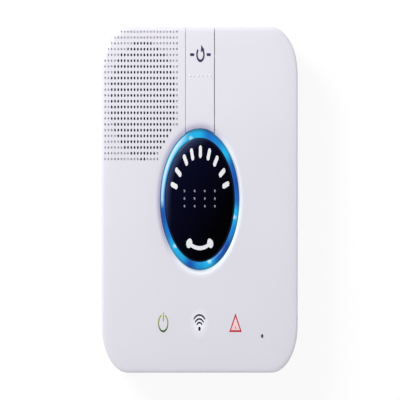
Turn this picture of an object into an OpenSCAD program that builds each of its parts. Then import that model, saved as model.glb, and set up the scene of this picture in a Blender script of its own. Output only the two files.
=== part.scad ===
// Medical alert base station: a slim table-top housing with a large oval emergency button in a
// lit ring, a long reset key, a perforated speaker field, indicator windows and a microphone.
// It lies on its back: +Z is up through the face, +Y points to the reset key's end.
// The origin is at the centre of the surface that it stands on.

/* [Case] */
// Width across the face
body_w = 85; // [84:0.5:92]
// Length along the face
body_l = 150; // [147:0.5:160]
// Height from the table to the crest of the light ring
body_h = 32; // [32:0.5:38]
// Reach of a corner's curve across the width
corner_w = 11.5; // [10:0.5:13]
// Reach of a corner's curve along the length
corner_l = 20.4; // [17:0.2:22]
// Thickness of the side walls
wall = 2.4; // [2.2:0.1:2.8]
// Thickness of the front face
skin = 2; // [1.8:0.1:2.4]
// Thickness of the rear cover's floor
floor_t = 2; // [1.8:0.1:2.4]
// Rounding of the front face's edge, across the width
face_edge_w = 1.3; // [0.8:0.1:2]
// Rounding of the front face's edge, along the length
face_edge_l = 2.3; // [1.2:0.1:3]
// Drop of the front face's edge
face_edge_h = 1.3; // [0.8:0.1:2]
// Rounding of the underside's edge, across the width
base_edge_w = 2.6; // [1.5:0.1:3.5]
// Rounding of the underside's edge, along the length
base_edge_l = 3.6; // [2:0.1:5]
// Rise of the underside's edge
base_edge_h = 3.4; // [2:0.1:4.5]
// Height of the shadow groove between the covers
groove_h = 0.5; // [0.3:0.1:0.8]
// Depth of the shadow groove
groove_d = 0.5; // [0.3:0.1:0.8]
// Height of the rear cover's tongue inside the front cover
tongue_h = 1.6; // [1:0.1:2.2]

/* [Emergency button] */
// Width of the button's cap
button_w = 29.9; // [28.5:0.1:31]
// Length of the button's cap
button_l = 53.8; // [52:0.1:55]
// Width of the light ring's band at its sides
ring_side = 2.15; // [1.95:0.05:2.8]
// Width of the light ring's band at its ends
ring_end = 3.65; // [3.35:0.05:4.35]
// Rise of the light ring above the face
ring_rise = 1.6; // [1:0.1:2]
// Overlap of the light ring's bead on the face
ring_lap = 0.85; // [0.6:0.05:1]
// Depth of the light ring's spigot below the face
ring_depth = 3.2; // [2.6:0.1:3.6]
// Rise of the cap's rim above the face
cap_rim = 0.7; // [0.4:0.1:1]
// Crown of the cap above its rim
cap_crown = 0.7; // [0.3:0.1:0.9]
// Wall thickness of the cap's skirt
cap_wall = 1.4; // [1.2:0.1:1.8]
// Gap between the cap and the light ring
button_gap = 0.25; // [0.2:0.05:0.4]
// Travel of the emergency button
button_travel = 0.8; // [0.4:0.1:0.9]
// Distance of each guide post from the button's centre
guide_reach = 17; // [14:0.5:20]
// Radius of a guide post
guide_r = 1.6; // [1.2:0.1:2]

/* [Reset key] */
// Width of the reset key
reset_w = 12; // [11:0.5:13]
// Gap along each side of the reset key
reset_gap = 0.25; // [0.2:0.05:0.4]
// Distance from the light ring to the reset key's pivot
pivot_reach = 3.7; // [3.4:0.1:5]
// Distance from the pivot to the reset spring
reset_spring_reach = 12.5; // [9:0.5:15]
// Distance from the pivot to the reset switch
reset_switch_reach = 23.5; // [20:0.5:24]
// Radius of the pivot pin
pin_r = 0.8; // [0.6:0.05:0.9]
// Turn of the reset key when it is pressed, in degrees
reset_turn = 1.2; // [0.8:0.1:1.2]

/* [Grille] */
// Step between the grille's columns
grille_step_w = 1.415; // [1.3:0.005:1.6]
// Step between the grille's rows
grille_step_l = 2.51; // [2.3:0.01:2.8]
// Width of one hole
hole_w = 0.58; // [0.4:0.02:0.8]
// Length of one hole
hole_l = 1.04; // [0.8:0.02:1.4]
// First column's distance from the left side
grille_side = 1.49; // [1.2:0.01:2]
// First row's distance from the upper end
grille_end = 2.07; // [1.6:0.01:3]

/* [Speaker] */
// Width of the open field in front of the speaker
field_w = 27.8; // [24:0.2:28]
// Length of the open field in front of the speaker
field_l = 48.8; // [44:0.2:49]
// Distance of the speaker's centre from the left side
speaker_side = 18.1; // [18:0.1:18.4]
// Distance of the speaker's centre from the upper end
speaker_end = 31.4; // [30.5:0.1:32]
// Width of the speaker's rim beyond the open field
speaker_rim = 1.3; // [1:0.1:1.4]
// Thickness of the foam gasket
gasket_t = 0.8; // [0.5:0.1:1.2]
// Depth of the speaker's basket
basket_h = 5; // [4:0.5:6]
// Radius of the speaker's magnet
magnet_r = 9; // [7:0.5:11]
// Thickness of the speaker's magnet
magnet_h = 6; // [4:0.5:8]

/* [Indicators and microphone] */
// Step between the indicator windows
indicator_step = 15.65; // [14:0.05:16]
// Distance of the indicator windows from the lower end
indicator_end = 21.8; // [20:0.1:23]
// Radius of a light pipe's column
pipe_r = 3; // [2.4:0.1:3.4]
// Thickness of the face that is left over a light pipe
window_t = 0.7; // [0.5:0.1:1]
// Distance of the microphone from the right side
mic_side = 15.4; // [15:0.1:17]
// Distance of the microphone from the lower end
mic_end = 15.9; // [15:0.1:18]
// Radius of the microphone's hole
mic_hole_r = 0.5; // [0.4:0.05:0.7]
// Radius of the microphone capsule
mic_r = 2.6; // [2:0.1:2.8]

/* [Circuit board] */
// Thickness of the circuit board
pcb_t = 1.6; // [1:0.1:1.8]
// Space between the circuit board and the front face
pcb_gap = 6; // [6:0.1:7]
// Gap between the circuit board and the side walls
pcb_inset = 2.6; // [2.4:0.1:3.2]
// Side of the emergency switch
switch_w = 12; // [10:0.5:12.5]
// Side of the reset switch
reset_switch_w = 6; // [5:0.5:7]
// Radius of a switch's stem
stem_r = 1.75; // [1.4:0.05:2]
// Width of the cellular module
cell_w = 18; // [14:0.5:19]
// Length of the cellular module
cell_l = 24; // [20:0.5:26]
// Width of the processor's shield
shield_w = 24; // [18:0.5:26]

/* [Battery] */
// Radius of a battery cell
cell_r = 7.25; // [6.6:0.05:7.3]
// Length of a battery cell
cell_length = 50.5; // [44:0.5:51]
// Number of cells side by side
cell_count = 3; // [2:1:3]
// Space for the lead at the end of the cells
lead_room = 3.2; // [3:0.1:4]
// Thickness of the battery bay's walls
bay_wall = 1.5; // [1.2:0.1:1.8]
// Distance of the battery bay from the lower end
bay_end = 14.5; // [13.5:0.5:16]

/* [Power] */
// Distance of the power jack from the middle
jack_side = 24; // [23:0.5:25.5]
// Radius of the power jack's bore
jack_bore_r = 3; // [2.75:0.05:3.2]
// Radius of the power jack's centre pin
jack_pin_r = 1; // [0.8:0.05:1.25]
// Depth of the power jack's bore
jack_depth = 9.5; // [8:0.5:11]
// Distance of the power switch from the middle
slide_y = 20; // [16:0.5:24]
// Travel of the power switch's knob
slide_travel = 2; // [1.5:0.1:2.4]

/* [Feet and wall mount] */
// Radius of a rubber foot
foot_r = 5; // [4:0.5:5.5]
// Height of a rubber foot below the case
foot_h = 1.5; // [1:0.1:2]
// Depth of the recess that holds a foot
foot_sink = 1; // [0.6:0.1:1.2]
// Distance between the keyholes
keyhole_step = 48; // [44:1:52]
// Distance of the keyholes from the upper end
keyhole_end = 39; // [36:0.5:42]
// Radius of a keyhole's entry
keyhole_r = 4; // [3.5:0.1:4.5]
// Width of a keyhole's slot
keyhole_slot = 4; // [3:0.1:4.4]
// Run of a keyhole's slot
keyhole_run = 8; // [6:0.5:9]
// Depth behind a keyhole
keyhole_depth = 3.6; // [3:0.1:3.9]

/* [Screws] */
// Radius of a screw's shank
screw_r = 1.25; // [1:0.05:1.4]
// Radius of a screw's head
head_r = 2.4; // [2.1:0.1:2.5]
// Height of a screw's head
head_h = 1.1; // [0.9:0.1:1.2]
// Depth that a screw runs into its boss
screw_bite = 4.6; // [3:0.2:5]
// Distance of the upper case screws from the middle
upper_screw_x = 12.2; // [12:0.1:12.8]
// Distance of the upper case screws from the end
upper_screw_end = 7; // [6.8:0.1:7.4]
// Distance of the lower case screws from the side
lower_screw_side = 7.5; // [7.2:0.1:7.8]
// Distance of the lower case screws from the end
lower_screw_end = 12; // [11.6:0.1:12.6]

/* [Hidden] */
$fn = 48;
case_white = [0.89, 0.88, 0.90];
ring_blue = [0.12, 0.55, 0.93];
cap_navy = [0.03, 0.03, 0.10];
board_green = [0.05, 0.30, 0.16];
steel = [0.72, 0.73, 0.75];
black = [0.07, 0.07, 0.08];
wrap_blue = [0.10, 0.25, 0.55];

// Clearances
slip = 0.05;       // a running fit, measured on the radius
thread_gap = 0.02; // a screw in its pilot hole
fit_gap = 0.1;     // a fixed piece in its recess
door_gap = 0.2;    // round the battery door
rest_gap = 0.3;    // between stops that never meet

// The light ring fits round the button
ring_in_w = button_w + 2 * button_gap;
ring_in_l = button_l + 2 * button_gap;
ring_w = ring_in_w + 2 * ring_side;
ring_l = ring_in_l + 2 * ring_end;

// Levels, from the face down and from the table up
face_z = body_h - ring_rise;
under_z = face_z - skin;
pcb_top = under_z - pcb_gap;
pcb_bottom = pcb_top - pcb_t;
split_z = pcb_bottom + 0.2;
base_z = foot_h;
floor_z = base_z + floor_t;

// Places on the face
left = -body_w / 2;
right = body_w / 2;
top_end = body_l / 2;
low_end = -body_l / 2;
speaker_at = [left + speaker_side, top_end - speaker_end];
speaker_w = field_w + 2 * speaker_rim;
speaker_l = field_l + 2 * speaker_rim;
mic_at = [right - mic_side, low_end + mic_end];
indicator_y = low_end + indicator_end;
indicator_spots = [for (k = [-1:1]) [k * indicator_step, indicator_y]];
pivot_y = ring_l / 2 + pivot_reach;
reset_spring_y = pivot_y + reset_spring_reach;
reset_switch_y = pivot_y + reset_switch_reach;

// Outlines: an oval, and the case's rectangle with curved corners
function oval(w, l, n = 48) = [for (i = [0:n - 1]) [w / 2 * cos(360 * i / n), l / 2 * sin(360 * i / n)]];
function corner(x, y, rw, rl, start, n = 8) =
    [for (i = [0:n]) let (a = start + 90 * i / n) [x + rw * cos(a), y + rl * sin(a)]];
function case_outline(in_w, in_l) =
    let (x = right - corner_w, y = top_end - corner_l, rw = corner_w - in_w, rl = corner_l - in_l)
    concat(corner(x, y, rw, rl, 0), corner(-x, y, rw, rl, 90),
           corner(-x, -y, rw, rl, 180), corner(x, -y, rw, rl, 270));
function raise(outline, z) = [for (p = outline) [p.x, p.y, z]];
function moved(outline, by) = [for (p = outline) p + by];

// A closed solid through a stack of outlines with the same number of points
module loft(rings) {
    n = len(rings[0]);
    last = len(rings) - 1;
    sides = [for (k = [0:last - 1], i = [0:n - 1])
        let (a = k * n + i, b = k * n + (i + 1) % n) each [[a, b + n, b], [a, a + n, b + n]]];
    polyhedron(points = [for (r = rings) each r],
        faces = concat([[for (i = [0:n - 1]) i]], sides, [[for (i = [n - 1:-1:0]) last * n + i]]));
}

module slab(outline, z0, z1) translate([0, 0, z0]) linear_extrude(z1 - z0) polygon(outline);
module post(at, r, z0, z1) translate([at.x, at.y, z0]) cylinder(r = r, h = z1 - z0);
module box(low, high) translate(low) cube(high - low);
module block(at, w, l, z0, z1) box([at.x - w / 2, at.y - l / 2, z0], [at.x + w / 2, at.y + l / 2, z1]);

// A lead along a list of points, as a round tube with 8 sides
function unit(v) = v / norm(v);
module lead(path, r) {
    n = len(path);
    loft([for (i = [0:n - 1])
        let (t = unit(path[min(i + 1, n - 1)] - path[max(i - 1, 0)]),
             u = unit(cross(t, [0.31, 0.11, -0.94])), v = cross(t, u))
        [for (k = [0:7]) path[i] + r * (cos(45 * k) * u + sin(45 * k) * v)]]);
}
function bezier(a, b, c, d, n = 10) = [for (i = [0:n]) let (t = i / n, s = 1 - t)
    s * s * s * a + 3 * s * s * t * b + 3 * s * t * t * c + t * t * t * d];

// Screws: the head at z, the shank upwards
module screw(at, z, length) {
    difference() {
        post(at, head_r, z - head_h, z);
        translate([at.x, at.y, z - head_h - 0.01]) cylinder(r = head_r * 0.45, h = head_h * 0.55, $fn = 6);
    }
    post(at, screw_r, z, z + length);
}

case_screw_spots = concat(
    [for (s = [-1, 1]) [s * upper_screw_x, top_end - upper_screw_end]],
    [for (s = [-1, 1]) [s * (right - lower_screw_side), low_end + lower_screw_end]]);
pcb_screw_side = 9;
pcb_screw_end = 25;
pcb_screw_upper_end = 29;
pcb_screw_drop = 15.9;
pcb_screw_spots = [[left + pcb_screw_side, low_end + pcb_screw_end],
    [right - pcb_screw_side, low_end + pcb_screw_end],
    [right - pcb_screw_side, top_end - pcb_screw_upper_end],
    [left + pcb_screw_side - 0.5, speaker_at.y - speaker_l / 2 - pcb_screw_drop]];
case_boss_r = screw_r + 2;
pcb_boss_r = screw_r + 1.2;
counterbore_r = head_r + 0.5;
shoulder = 4;

// ---- Housing ----

// Outline stack of the front cover's outside
face_steps = [for (a = [0:22.5:90])
    let (in = 1 - cos(a), down = 1 - sin(a))
    raise(case_outline(face_edge_w * in, face_edge_l * in), face_z - face_edge_h * down)];
module front_outside() loft(concat([raise(case_outline(0, 0), split_z)], face_steps));

// The reset key's strip, from the light ring to the upper end, grown by a gap
module reset_strip(gap, z0, z1) difference() {
    box([-reset_w / 2 - gap, 0, z0], [reset_w / 2 + gap, top_end + 1, z1]);
    slab(oval(ring_w + 2 * (reset_gap - gap), ring_l + 2 * (reset_gap - gap)), z0 - 1, z1 + 1);
}
reset_skirt_z = split_z + 5.5;
reset_slot_z = reset_skirt_z - (top_end - pivot_y) * sin(reset_turn) - 0.25;
ear_in = reset_w / 2 + reset_gap + 0.1;
ear_out = ear_in + 1.5;
pivot_z = under_z - 1.5;
barrel_r = pin_r + 0.9;

// The bosses that carry the button's housing stand beside it, left and right
housing_wall = 1.5;
housing_in_w = ring_w;
housing_in_l = ring_l;
housing_out_w = housing_in_w + 2 * housing_wall;
housing_out_l = housing_in_l + 2 * housing_wall;
housing_z = pcb_top + 0.5;
housing_floor = housing_z + 1.2;
// How far up the bosses stand, kept clear of the speaker
boss_reach = 12;
boss_gap = 5.9;
boss_y = min(boss_reach, speaker_at.y - speaker_l / 2 - boss_gap);
boss_x = housing_out_w / 2 + 2.6;
housing_spots = [for (sx = [-1, 1], sy = [-1, 1]) [sx * boss_x, sy * boss_y]];
housing_ear = housing_floor + 1.5;

module grille_hole(at, z0, z1) slab(moved(oval(hole_w, hole_l, 6), at), z0, z1);
function in_field(p) =
    let (d = p - speaker_at) pow(2 * d.x / field_w, 2) + pow(2 * d.y / field_l, 2) < 1;
function steps_within(middle, reach, step) = [ceil((middle - reach) / step):floor((middle + reach) / step)];
first_hole = [left + grille_side, top_end - grille_end];
grille_spots = [
    for (c = steps_within(speaker_at.x - first_hole.x, field_w / 2, grille_step_w),
         r = steps_within(first_hole.y - speaker_at.y, field_l / 2, grille_step_l))
    let (p = first_hole + [c * grille_step_w, -r * grille_step_l]) if (in_field(p)) p];

module front_cover() color(case_white) difference() {
    union() {
        difference() {
            front_outside();
            slab(case_outline(wall, wall), split_z - 1, under_z);
            slab(case_outline(wall / 2, wall / 2), split_z - 1, split_z + tongue_h + fit_gap);
        }
        for (p = case_screw_spots) post(p, case_boss_r, split_z, under_z);
        for (p = pcb_screw_spots) post(p, pcb_boss_r, pcb_top, under_z);
        for (p = housing_spots) post(p, pcb_boss_r, housing_ear, under_z);
        for (s = [-1, 1])
            box([s > 0 ? ear_in : -ear_out, pivot_y - barrel_r, pivot_z - barrel_r],
                [s > 0 ? ear_out : -ear_in, pivot_y + barrel_r, under_z]);
    }
    slab(oval(ring_w - 2 * ring_lap, ring_l - 2 * ring_lap), under_z - 1, face_z + 1);
    reset_strip(reset_gap, reset_slot_z, face_z + 1);
    for (p = grille_spots) grille_hole(p, under_z - 1, face_z + 1);
    post(mic_at, mic_hole_r, under_z - 1, face_z + 1);
    for (p = indicator_spots) post(p, pipe_r + fit_gap, under_z - 1, face_z - window_t);
    for (p = case_screw_spots) post(p, screw_r + thread_gap, split_z - 1, split_z + screw_bite + 0.4);
    for (p = pcb_screw_spots) post(p, screw_r + thread_gap, pcb_top - 1, pcb_top + screw_bite + 0.4);
    for (p = housing_spots) post(p, screw_r + thread_gap, housing_ear - 1, under_z + 0.4);
    translate([-ear_out - 1, pivot_y, pivot_z])
        rotate([0, 90, 0]) cylinder(r = pin_r + thread_gap, h = 2 * ear_out + 2);
}

// Battery bay: a box open through the floor, closed by the door
pack_w = 2 * cell_r * cell_count;
bay_w = pack_w + 0.7;
bay_low = low_end + bay_end;
tab_root = 1.2;
pack_low = bay_low + tab_root + rest_gap;
bay_top = pack_low + cell_length + lead_room;
pack_z = floor_z + 0.1;
bay_ceiling = pack_z + 2 * cell_r + rest_gap;
door_screw_at = [0, bay_top + 3.7];
door_ear_w = 9;
door_post_r = 3;
tab_w = 6;
tab_t = 1;
tab_reach = 1.2;
tab_x = bay_w / 2 - 8;
battery_lead_x = -bay_w / 2 + 7.2;
battery_lead_r = 1.1;
lead_notch = 2 * (battery_lead_r + rest_gap);

jack_at = [jack_side, top_end - wall];
jack_w = 9;
jack_h = 11;
jack_back = 13;
jack_nose_r = jack_bore_r + 1;
jack_z = pcb_bottom - jack_h / 2;

slide_z = pcb_bottom - 1.9;
knob_w = 3;
knob_h = 1.8;
knob_path = knob_w + slide_travel;
scoop_w = 12;
scoop_h = 6;
scoop_d = 0.9;

foot_side = 9.5;
foot_upper_end = 13;
foot_lower_end = 25;
foot_spots = [for (s = [-1, 1], y = [top_end - foot_upper_end, low_end + foot_lower_end])
    [s * (right - foot_side), y]];
keyhole_spots = [for (s = [-1, 1]) [s * keyhole_step / 2, top_end - keyhole_end]];
pocket_wall = 1.2;
pocket_room = 1.6;

module keyhole_pocket(grow, z0, z1)
    for (p = keyhole_spots)
        box([p.x - keyhole_r - pocket_room - grow, p.y - keyhole_r - pocket_room - grow, z0],
            [p.x + keyhole_r + pocket_room + grow, p.y + keyhole_run + keyhole_r + grow, z1]);

rear_steps = [for (a = [0:22.5:90])
    let (in = 1 - sin(a), up = 1 - cos(a))
    raise(case_outline(base_edge_w * in, base_edge_l * in), base_z + base_edge_h * up)];
module rear_cover() color(case_white) difference() {
    union() {
        difference() {
            loft(concat(rear_steps, [raise(case_outline(0, 0), split_z)]));
            slab(case_outline(wall, wall), floor_z, split_z + 1);
        }
        difference() {
            slab(case_outline(wall / 2 + fit_gap, wall / 2 + fit_gap), split_z - 1, split_z + tongue_h);
            slab(case_outline(wall, wall), split_z - 2, split_z + tongue_h + 1);
        }
        box([-bay_w / 2 - bay_wall, bay_low - bay_wall, floor_z - 1],
            [bay_w / 2 + bay_wall, bay_top + bay_wall, bay_ceiling + bay_wall]);
        keyhole_pocket(pocket_wall, floor_z - 1, floor_z + keyhole_depth + pocket_wall);
        for (p = case_screw_spots) post(p, counterbore_r + 1.2, floor_z - 1, split_z);
        post(door_screw_at, door_post_r, floor_z, floor_z + screw_bite + 2);
    }
    // the shadow groove under the split line
    difference() {
        slab(case_outline(-1, -1), split_z - groove_h, split_z);
        slab(case_outline(groove_d, groove_d), split_z - groove_h - 1, split_z + 1);
    }
    // the battery bay, the door's ear, its tabs and the lead's notch
    box([-bay_w / 2, bay_low, base_z - 1], [bay_w / 2, bay_top, bay_ceiling]);
    box([-door_ear_w / 2 - door_gap, bay_top - 1, base_z - 1],
        [door_ear_w / 2 + door_gap, door_screw_at.y + door_ear_w / 2 + door_gap, floor_z]);
    for (s = [-1, 1])
        box([s * tab_x - tab_w / 2 - door_gap, bay_low - tab_reach - door_gap, floor_z],
            [s * tab_x + tab_w / 2 + door_gap, bay_low + 1, floor_z + tab_t + door_gap]);
    block([battery_lead_x, bay_top + bay_wall / 2], lead_notch, bay_wall + 2,
        pack_z + cell_r - lead_notch / 2, pack_z + cell_r + lead_notch / 2);
    post(door_screw_at, screw_r + thread_gap, floor_z - 1, floor_z + screw_bite + 0.4);
    // keyholes
    keyhole_pocket(0, floor_z, floor_z + keyhole_depth);
    for (p = keyhole_spots) {
        post(p, keyhole_r, base_z - 1, floor_z + 0.1);
        post(p + [0, keyhole_run], keyhole_slot / 2, base_z - 1, floor_z + 0.1);
        block(p + [0, keyhole_run / 2], keyhole_slot, keyhole_run, base_z - 1, floor_z + 0.1);
    }
    for (p = foot_spots) post(p, foot_r + fit_gap, base_z - 1, base_z + foot_sink);
    for (p = case_screw_spots) {
        post(p, counterbore_r, base_z - 1, split_z - shoulder);
        post(p, screw_r + 0.2, base_z, split_z + 1);
    }
    // the jack's opening in the upper end
    translate([jack_at.x, top_end - wall - 1, jack_z])
        rotate([-90, 0, 0]) cylinder(r = jack_nose_r + 0.2, h = wall + 2);
    // the power switch's slot and its finger scoop in the right side
    block([right, slide_y], 2 * wall + 2, knob_path + 2 * rest_gap,
        slide_z - knob_h / 2 - rest_gap, slide_z + knob_h / 2 + rest_gap);
    block([right, slide_y], 2 * scoop_d, scoop_w, slide_z - scoop_h / 2, slide_z + knob_h / 2 + rest_gap);
}

module battery_door() color(case_white) difference() {
    union() {
        box([-bay_w / 2 + door_gap, bay_low + door_gap, base_z],
            [bay_w / 2 - door_gap, bay_top - door_gap, floor_z]);
        box([-door_ear_w / 2, bay_top - 1, base_z],
            [door_ear_w / 2, door_screw_at.y + door_ear_w / 2, floor_z]);
        for (s = [-1, 1])
            box([s * tab_x - tab_w / 2, bay_low - tab_reach, floor_z + 0.05],
                [s * tab_x + tab_w / 2, bay_low + tab_root, floor_z + tab_t]);
        for (s = [-1, 1])
            box([s * tab_x - tab_w / 2, bay_low + door_gap, base_z],
                [s * tab_x + tab_w / 2, bay_low + tab_root, floor_z + tab_t]);
    }
    post(door_screw_at, head_r + fit_gap, base_z - 1, base_z + head_h + 0.1);
    post(door_screw_at, screw_r + fit_gap, base_z, floor_z + 1);
}

module rubber_feet() color(black) for (p = foot_spots) {
    post(p, foot_r, 0.5, base_z + foot_sink);
    translate([p.x, p.y, 0]) cylinder(r1 = foot_r - 0.5, r2 = foot_r, h = 0.5);
}

module case_screws() color(steel)
    for (p = case_screw_spots) screw(p, split_z - shoulder, shoulder + screw_bite);

module door_screw() color(steel)
    screw(door_screw_at, base_z + head_h + 0.1, floor_t - head_h + screw_bite - 0.1);

// ---- Emergency button ----

opening_w = ring_w - 2 * ring_lap;
opening_l = ring_l - 2 * ring_lap;
ring_foot = face_z - ring_depth;
flange_reach = 0.95;
flange_top = ring_foot - rest_gap;
flange_t = flange_top - housing_floor - button_travel - 0.5;
flange_w = button_w + 2 * flange_reach;
flange_l = button_l + 2 * flange_reach;
cap_edge = 0.4;
cap_face_w = button_w - 2 * cap_edge;
cap_face_l = button_l - 2 * cap_edge;
cap_top = face_z + cap_rim;
cap_roof = under_z + 1;
carrier_t = 2;
carrier_w = button_w - 2 * cap_wall - 2 * fit_gap;
carrier_l = button_l - 2 * cap_wall - 2 * fit_gap;

module light_ring() color(ring_blue) difference() {
    union() {
        loft([for (a = [0, 20, 40, 60, 80])
            let (in = 1 - cos(a), up = sin(a) / sin(80))
            raise(oval(ring_w - ring_side * in, ring_l - ring_end * in), face_z + ring_rise * up)]);
        slab(oval(opening_w - 2 * fit_gap, opening_l - 2 * fit_gap), ring_foot, face_z + 0.1);
    }
    slab(oval(ring_in_w, ring_in_l), ring_foot - 1, body_h + 1);
    // the bead falls again towards the button
    loft([for (a = [10, 35, 60, 80])
        let (out = 1 - cos(a), up = sin(a) / sin(80))
        raise(oval(ring_in_w + ring_side * out, ring_in_l + ring_end * out),
            face_z + cap_rim + (ring_rise - cap_rim + 0.02) * up)]);
}

module emergency_button() color(cap_navy) difference() {
    union() {
        slab(oval(button_w, button_l), flange_top - 0.1, cap_top - cap_edge);
        loft([for (a = [0:30:90])
            let (in = 2 * cap_edge * (1 - cos(a)), down = cap_edge * (1 - sin(a)))
            raise(oval(button_w - in, button_l - in), cap_top - down)]);
        loft([for (t = [0:0.2:0.8])
            let (shrink = sqrt(1 - t))
            raise(oval(cap_face_w * shrink, cap_face_l * shrink), cap_top - 0.01 + cap_crown * t / 0.8)]);
        slab(oval(flange_w, flange_l), flange_top - flange_t, flange_top);
    }
    slab(oval(button_w - 2 * cap_wall, button_l - 2 * cap_wall), flange_top - flange_t - 1, cap_roof);
}

guide_spots = [[0, -guide_reach], [0, guide_reach]];
guide_tube_r = guide_r + 1.1;
carrier_bottom = cap_roof - carrier_t;
guide_tube_top = carrier_bottom - button_travel - 0.6;
spring_r = guide_tube_r + 0.6;
spring_wire = 0.5;
stem_top = pcb_top + 4.5;
switch_top = pcb_top + 3;
stem_bore_z = pcb_top + 0.6;
stem_bottom = stem_bore_z + button_travel + 0.2;

module button_carrier() color("gainsboro") {
    difference() {
        slab(oval(carrier_w, carrier_l), carrier_bottom, cap_roof);
        for (s = [-1, 1])
            slab(moved(oval(11, 9, 24), [0, s * 8.2]), carrier_bottom - 1, carrier_bottom + 1.2);
    }
    for (p = guide_spots) post(p, guide_r, pcb_top + 0.3, carrier_bottom);
    post([0, 0], 3, stem_top, carrier_bottom);
}

module button_housing() color("whitesmoke") difference() {
    union() {
        slab(oval(housing_out_w, housing_out_l), housing_z, under_z);
        for (p = housing_spots) {
            post(p, pcb_boss_r + 0.3, housing_floor, housing_ear);
            block([0.88 * p.x, p.y], 0.24 * abs(p.x), 4.8, housing_floor, housing_ear);
        }
    }
    difference() {
        slab(oval(housing_in_w, housing_in_l), housing_floor, under_z + 1);
        for (p = guide_spots) post(p, guide_tube_r, housing_floor - 1, guide_tube_top);
    }
    for (p = guide_spots) post(p, guide_r + slip, housing_z - 1, guide_tube_top + 1);
    for (p = led_spots) post(p, 1.5, housing_z - 1, housing_floor + 1);
    block([0, 0], switch_w + 1, switch_w + 1, housing_z - 1, housing_floor + 1);
    // the rim gives way to the reset key
    block([0, housing_in_l / 2], reset_w + 2, 8, under_z - 0.5, under_z + 1);
    for (p = housing_spots) post(p, screw_r + 0.15, housing_z - 1, under_z + 1);
}

module housing_screws() color(steel)
    for (p = housing_spots) screw(p, housing_floor, under_z - housing_floor);

module coil_sleeve(at, r, z0, z1) difference() {
    post(at, r + spring_wire / 2, z0, z1);
    post(at, r - spring_wire / 2, z0 - 1, z1 + 1);
}
module button_springs() color(steel)
    for (p = guide_spots) coil_sleeve(p, spring_r, housing_floor, carrier_bottom);

// A push switch: a square body with a bore for its stem
module push_switch(at, w, top) difference() {
    block(at, w, w, pcb_top, top);
    post(at, stem_r + 0.15, stem_bore_z, top + 1);
}
module button_switch() color(black) push_switch([0, 0], switch_w, switch_top);
module button_switch_stem() color("ivory") post([0, 0], stem_r, stem_bottom, stem_top);

led_spots = [for (i = [0:11]) let (a = 30 * i + 15)
    [(ring_in_w + 0.8) / 2 * cos(a), (ring_in_l + 1.4) / 2 * sin(a)]];
led_w = 2;
led_h = 0.8;
module led(at) block(at, led_w, led_w, pcb_top, pcb_top + led_h);
module ring_leds() color("white") for (p = led_spots) led(p);

// ---- Reset key ----

reset_stem_top = under_z - 1.4;
reset_switch_top = reset_stem_top - 1.1;
reset_stem_bottom = stem_bore_z + reset_switch_reach * sin(reset_turn) + 0.5;
module reset_key() color(case_white) difference() {
    union() {
        intersection() {
            difference() {
                front_outside();
                slab(case_outline(wall, wall), split_z - 1, under_z);
            }
            reset_strip(0, reset_skirt_z, face_z + 1);
        }
        translate([-reset_w / 2, pivot_y, pivot_z]) rotate([0, 90, 0]) cylinder(r = barrel_r, h = reset_w);
        post([0, reset_switch_y], stem_r + 0.3, reset_stem_top, under_z + 0.5);
    }
    translate([-reset_w, pivot_y, pivot_z]) rotate([0, 90, 0]) cylinder(r = pin_r + slip, h = 2 * reset_w);
}

module reset_pin() color(steel)
    translate([-ear_out, pivot_y, pivot_z]) rotate([0, 90, 0]) cylinder(r = pin_r, h = 2 * ear_out);

module reset_spring() color(steel) coil_sleeve([0, reset_spring_y], 2, pcb_top, under_z);
module reset_switch() color(black) push_switch([0, reset_switch_y], reset_switch_w, reset_switch_top);
module reset_switch_stem() color("ivory")
    post([0, reset_switch_y], stem_r, reset_stem_bottom, reset_stem_top);

// ---- Circuit board and what stands on it ----

tongue_low = low_end + 8;
board_low = low_end + 17;
board_x = right - wall - pcb_inset;
board_top = reset_switch_y + 4;
// room beside the upper case bosses
upper_boss_low = top_end - upper_screw_end - case_boss_r - 0.5;
pcb_outline = [
    [mic_at.x + 3.4, tongue_low], [mic_at.x + 3.4, board_low], [board_x, board_low],
    [board_x, top_end - 15], [jack_at.x + 7, top_end - wall - 1.6], [jack_at.x - 6, top_end - wall - 1.6],
    [jack_at.x - 6, min(board_top, upper_boss_low)],
    [upper_screw_x - case_boss_r - 0.5, min(board_top, upper_boss_low)],
    [upper_screw_x - case_boss_r - 0.5, board_top], [-reset_w / 2 - 2, board_top],
    [-reset_w / 2 - 2, speaker_at.y - speaker_l / 2 - 1.6], [-board_x, speaker_at.y - speaker_l / 2 - 1.6],
    [-board_x, board_low], [-mic_at.x - 3.4, board_low], [-mic_at.x - 3.4, tongue_low]];
module main_pcb() color(board_green) difference() {
    slab(pcb_outline, pcb_bottom, pcb_top);
    for (p = pcb_screw_spots) post(p, screw_r + 0.15, pcb_bottom - 1, pcb_top + 1);
    for (p = guide_spots) post(p, guide_r + 0.8, pcb_bottom - 1, pcb_top + 1);
}
module pcb_screws() color(steel) for (p = pcb_screw_spots) screw(p, pcb_bottom, pcb_t + screw_bite);

module indicator_light_pipe() color([0.92, 0.96, 1, 0.8]) {
    for (p = indicator_spots) post(p, pipe_r, pcb_top + led_h + 0.4, face_z - window_t);
    block([0, indicator_y], 2 * indicator_step, 3, pcb_top + 2.6, pcb_top + 4.2);
    for (s = [-1, 1]) block([s * indicator_step / 2, indicator_y], 2, 3, pcb_top, pcb_top + 3);
}
module indicator_leds() color("white") for (p = indicator_spots) led(p);

mic_boot_r = mic_r + 1;
mic_top = under_z - 0.6;
mic_h = 2.7;
module microphone() color(steel) post(mic_at, mic_r, mic_top - mic_h, mic_top);
module microphone_boot() color(black) difference() {
    post(mic_at, mic_boot_r, pcb_top, under_z);
    post(mic_at, mic_r, mic_top - mic_h, mic_top);
    post(mic_at, mic_hole_r + 0.3, mic_top - 1, under_z + 1);
}

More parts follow.
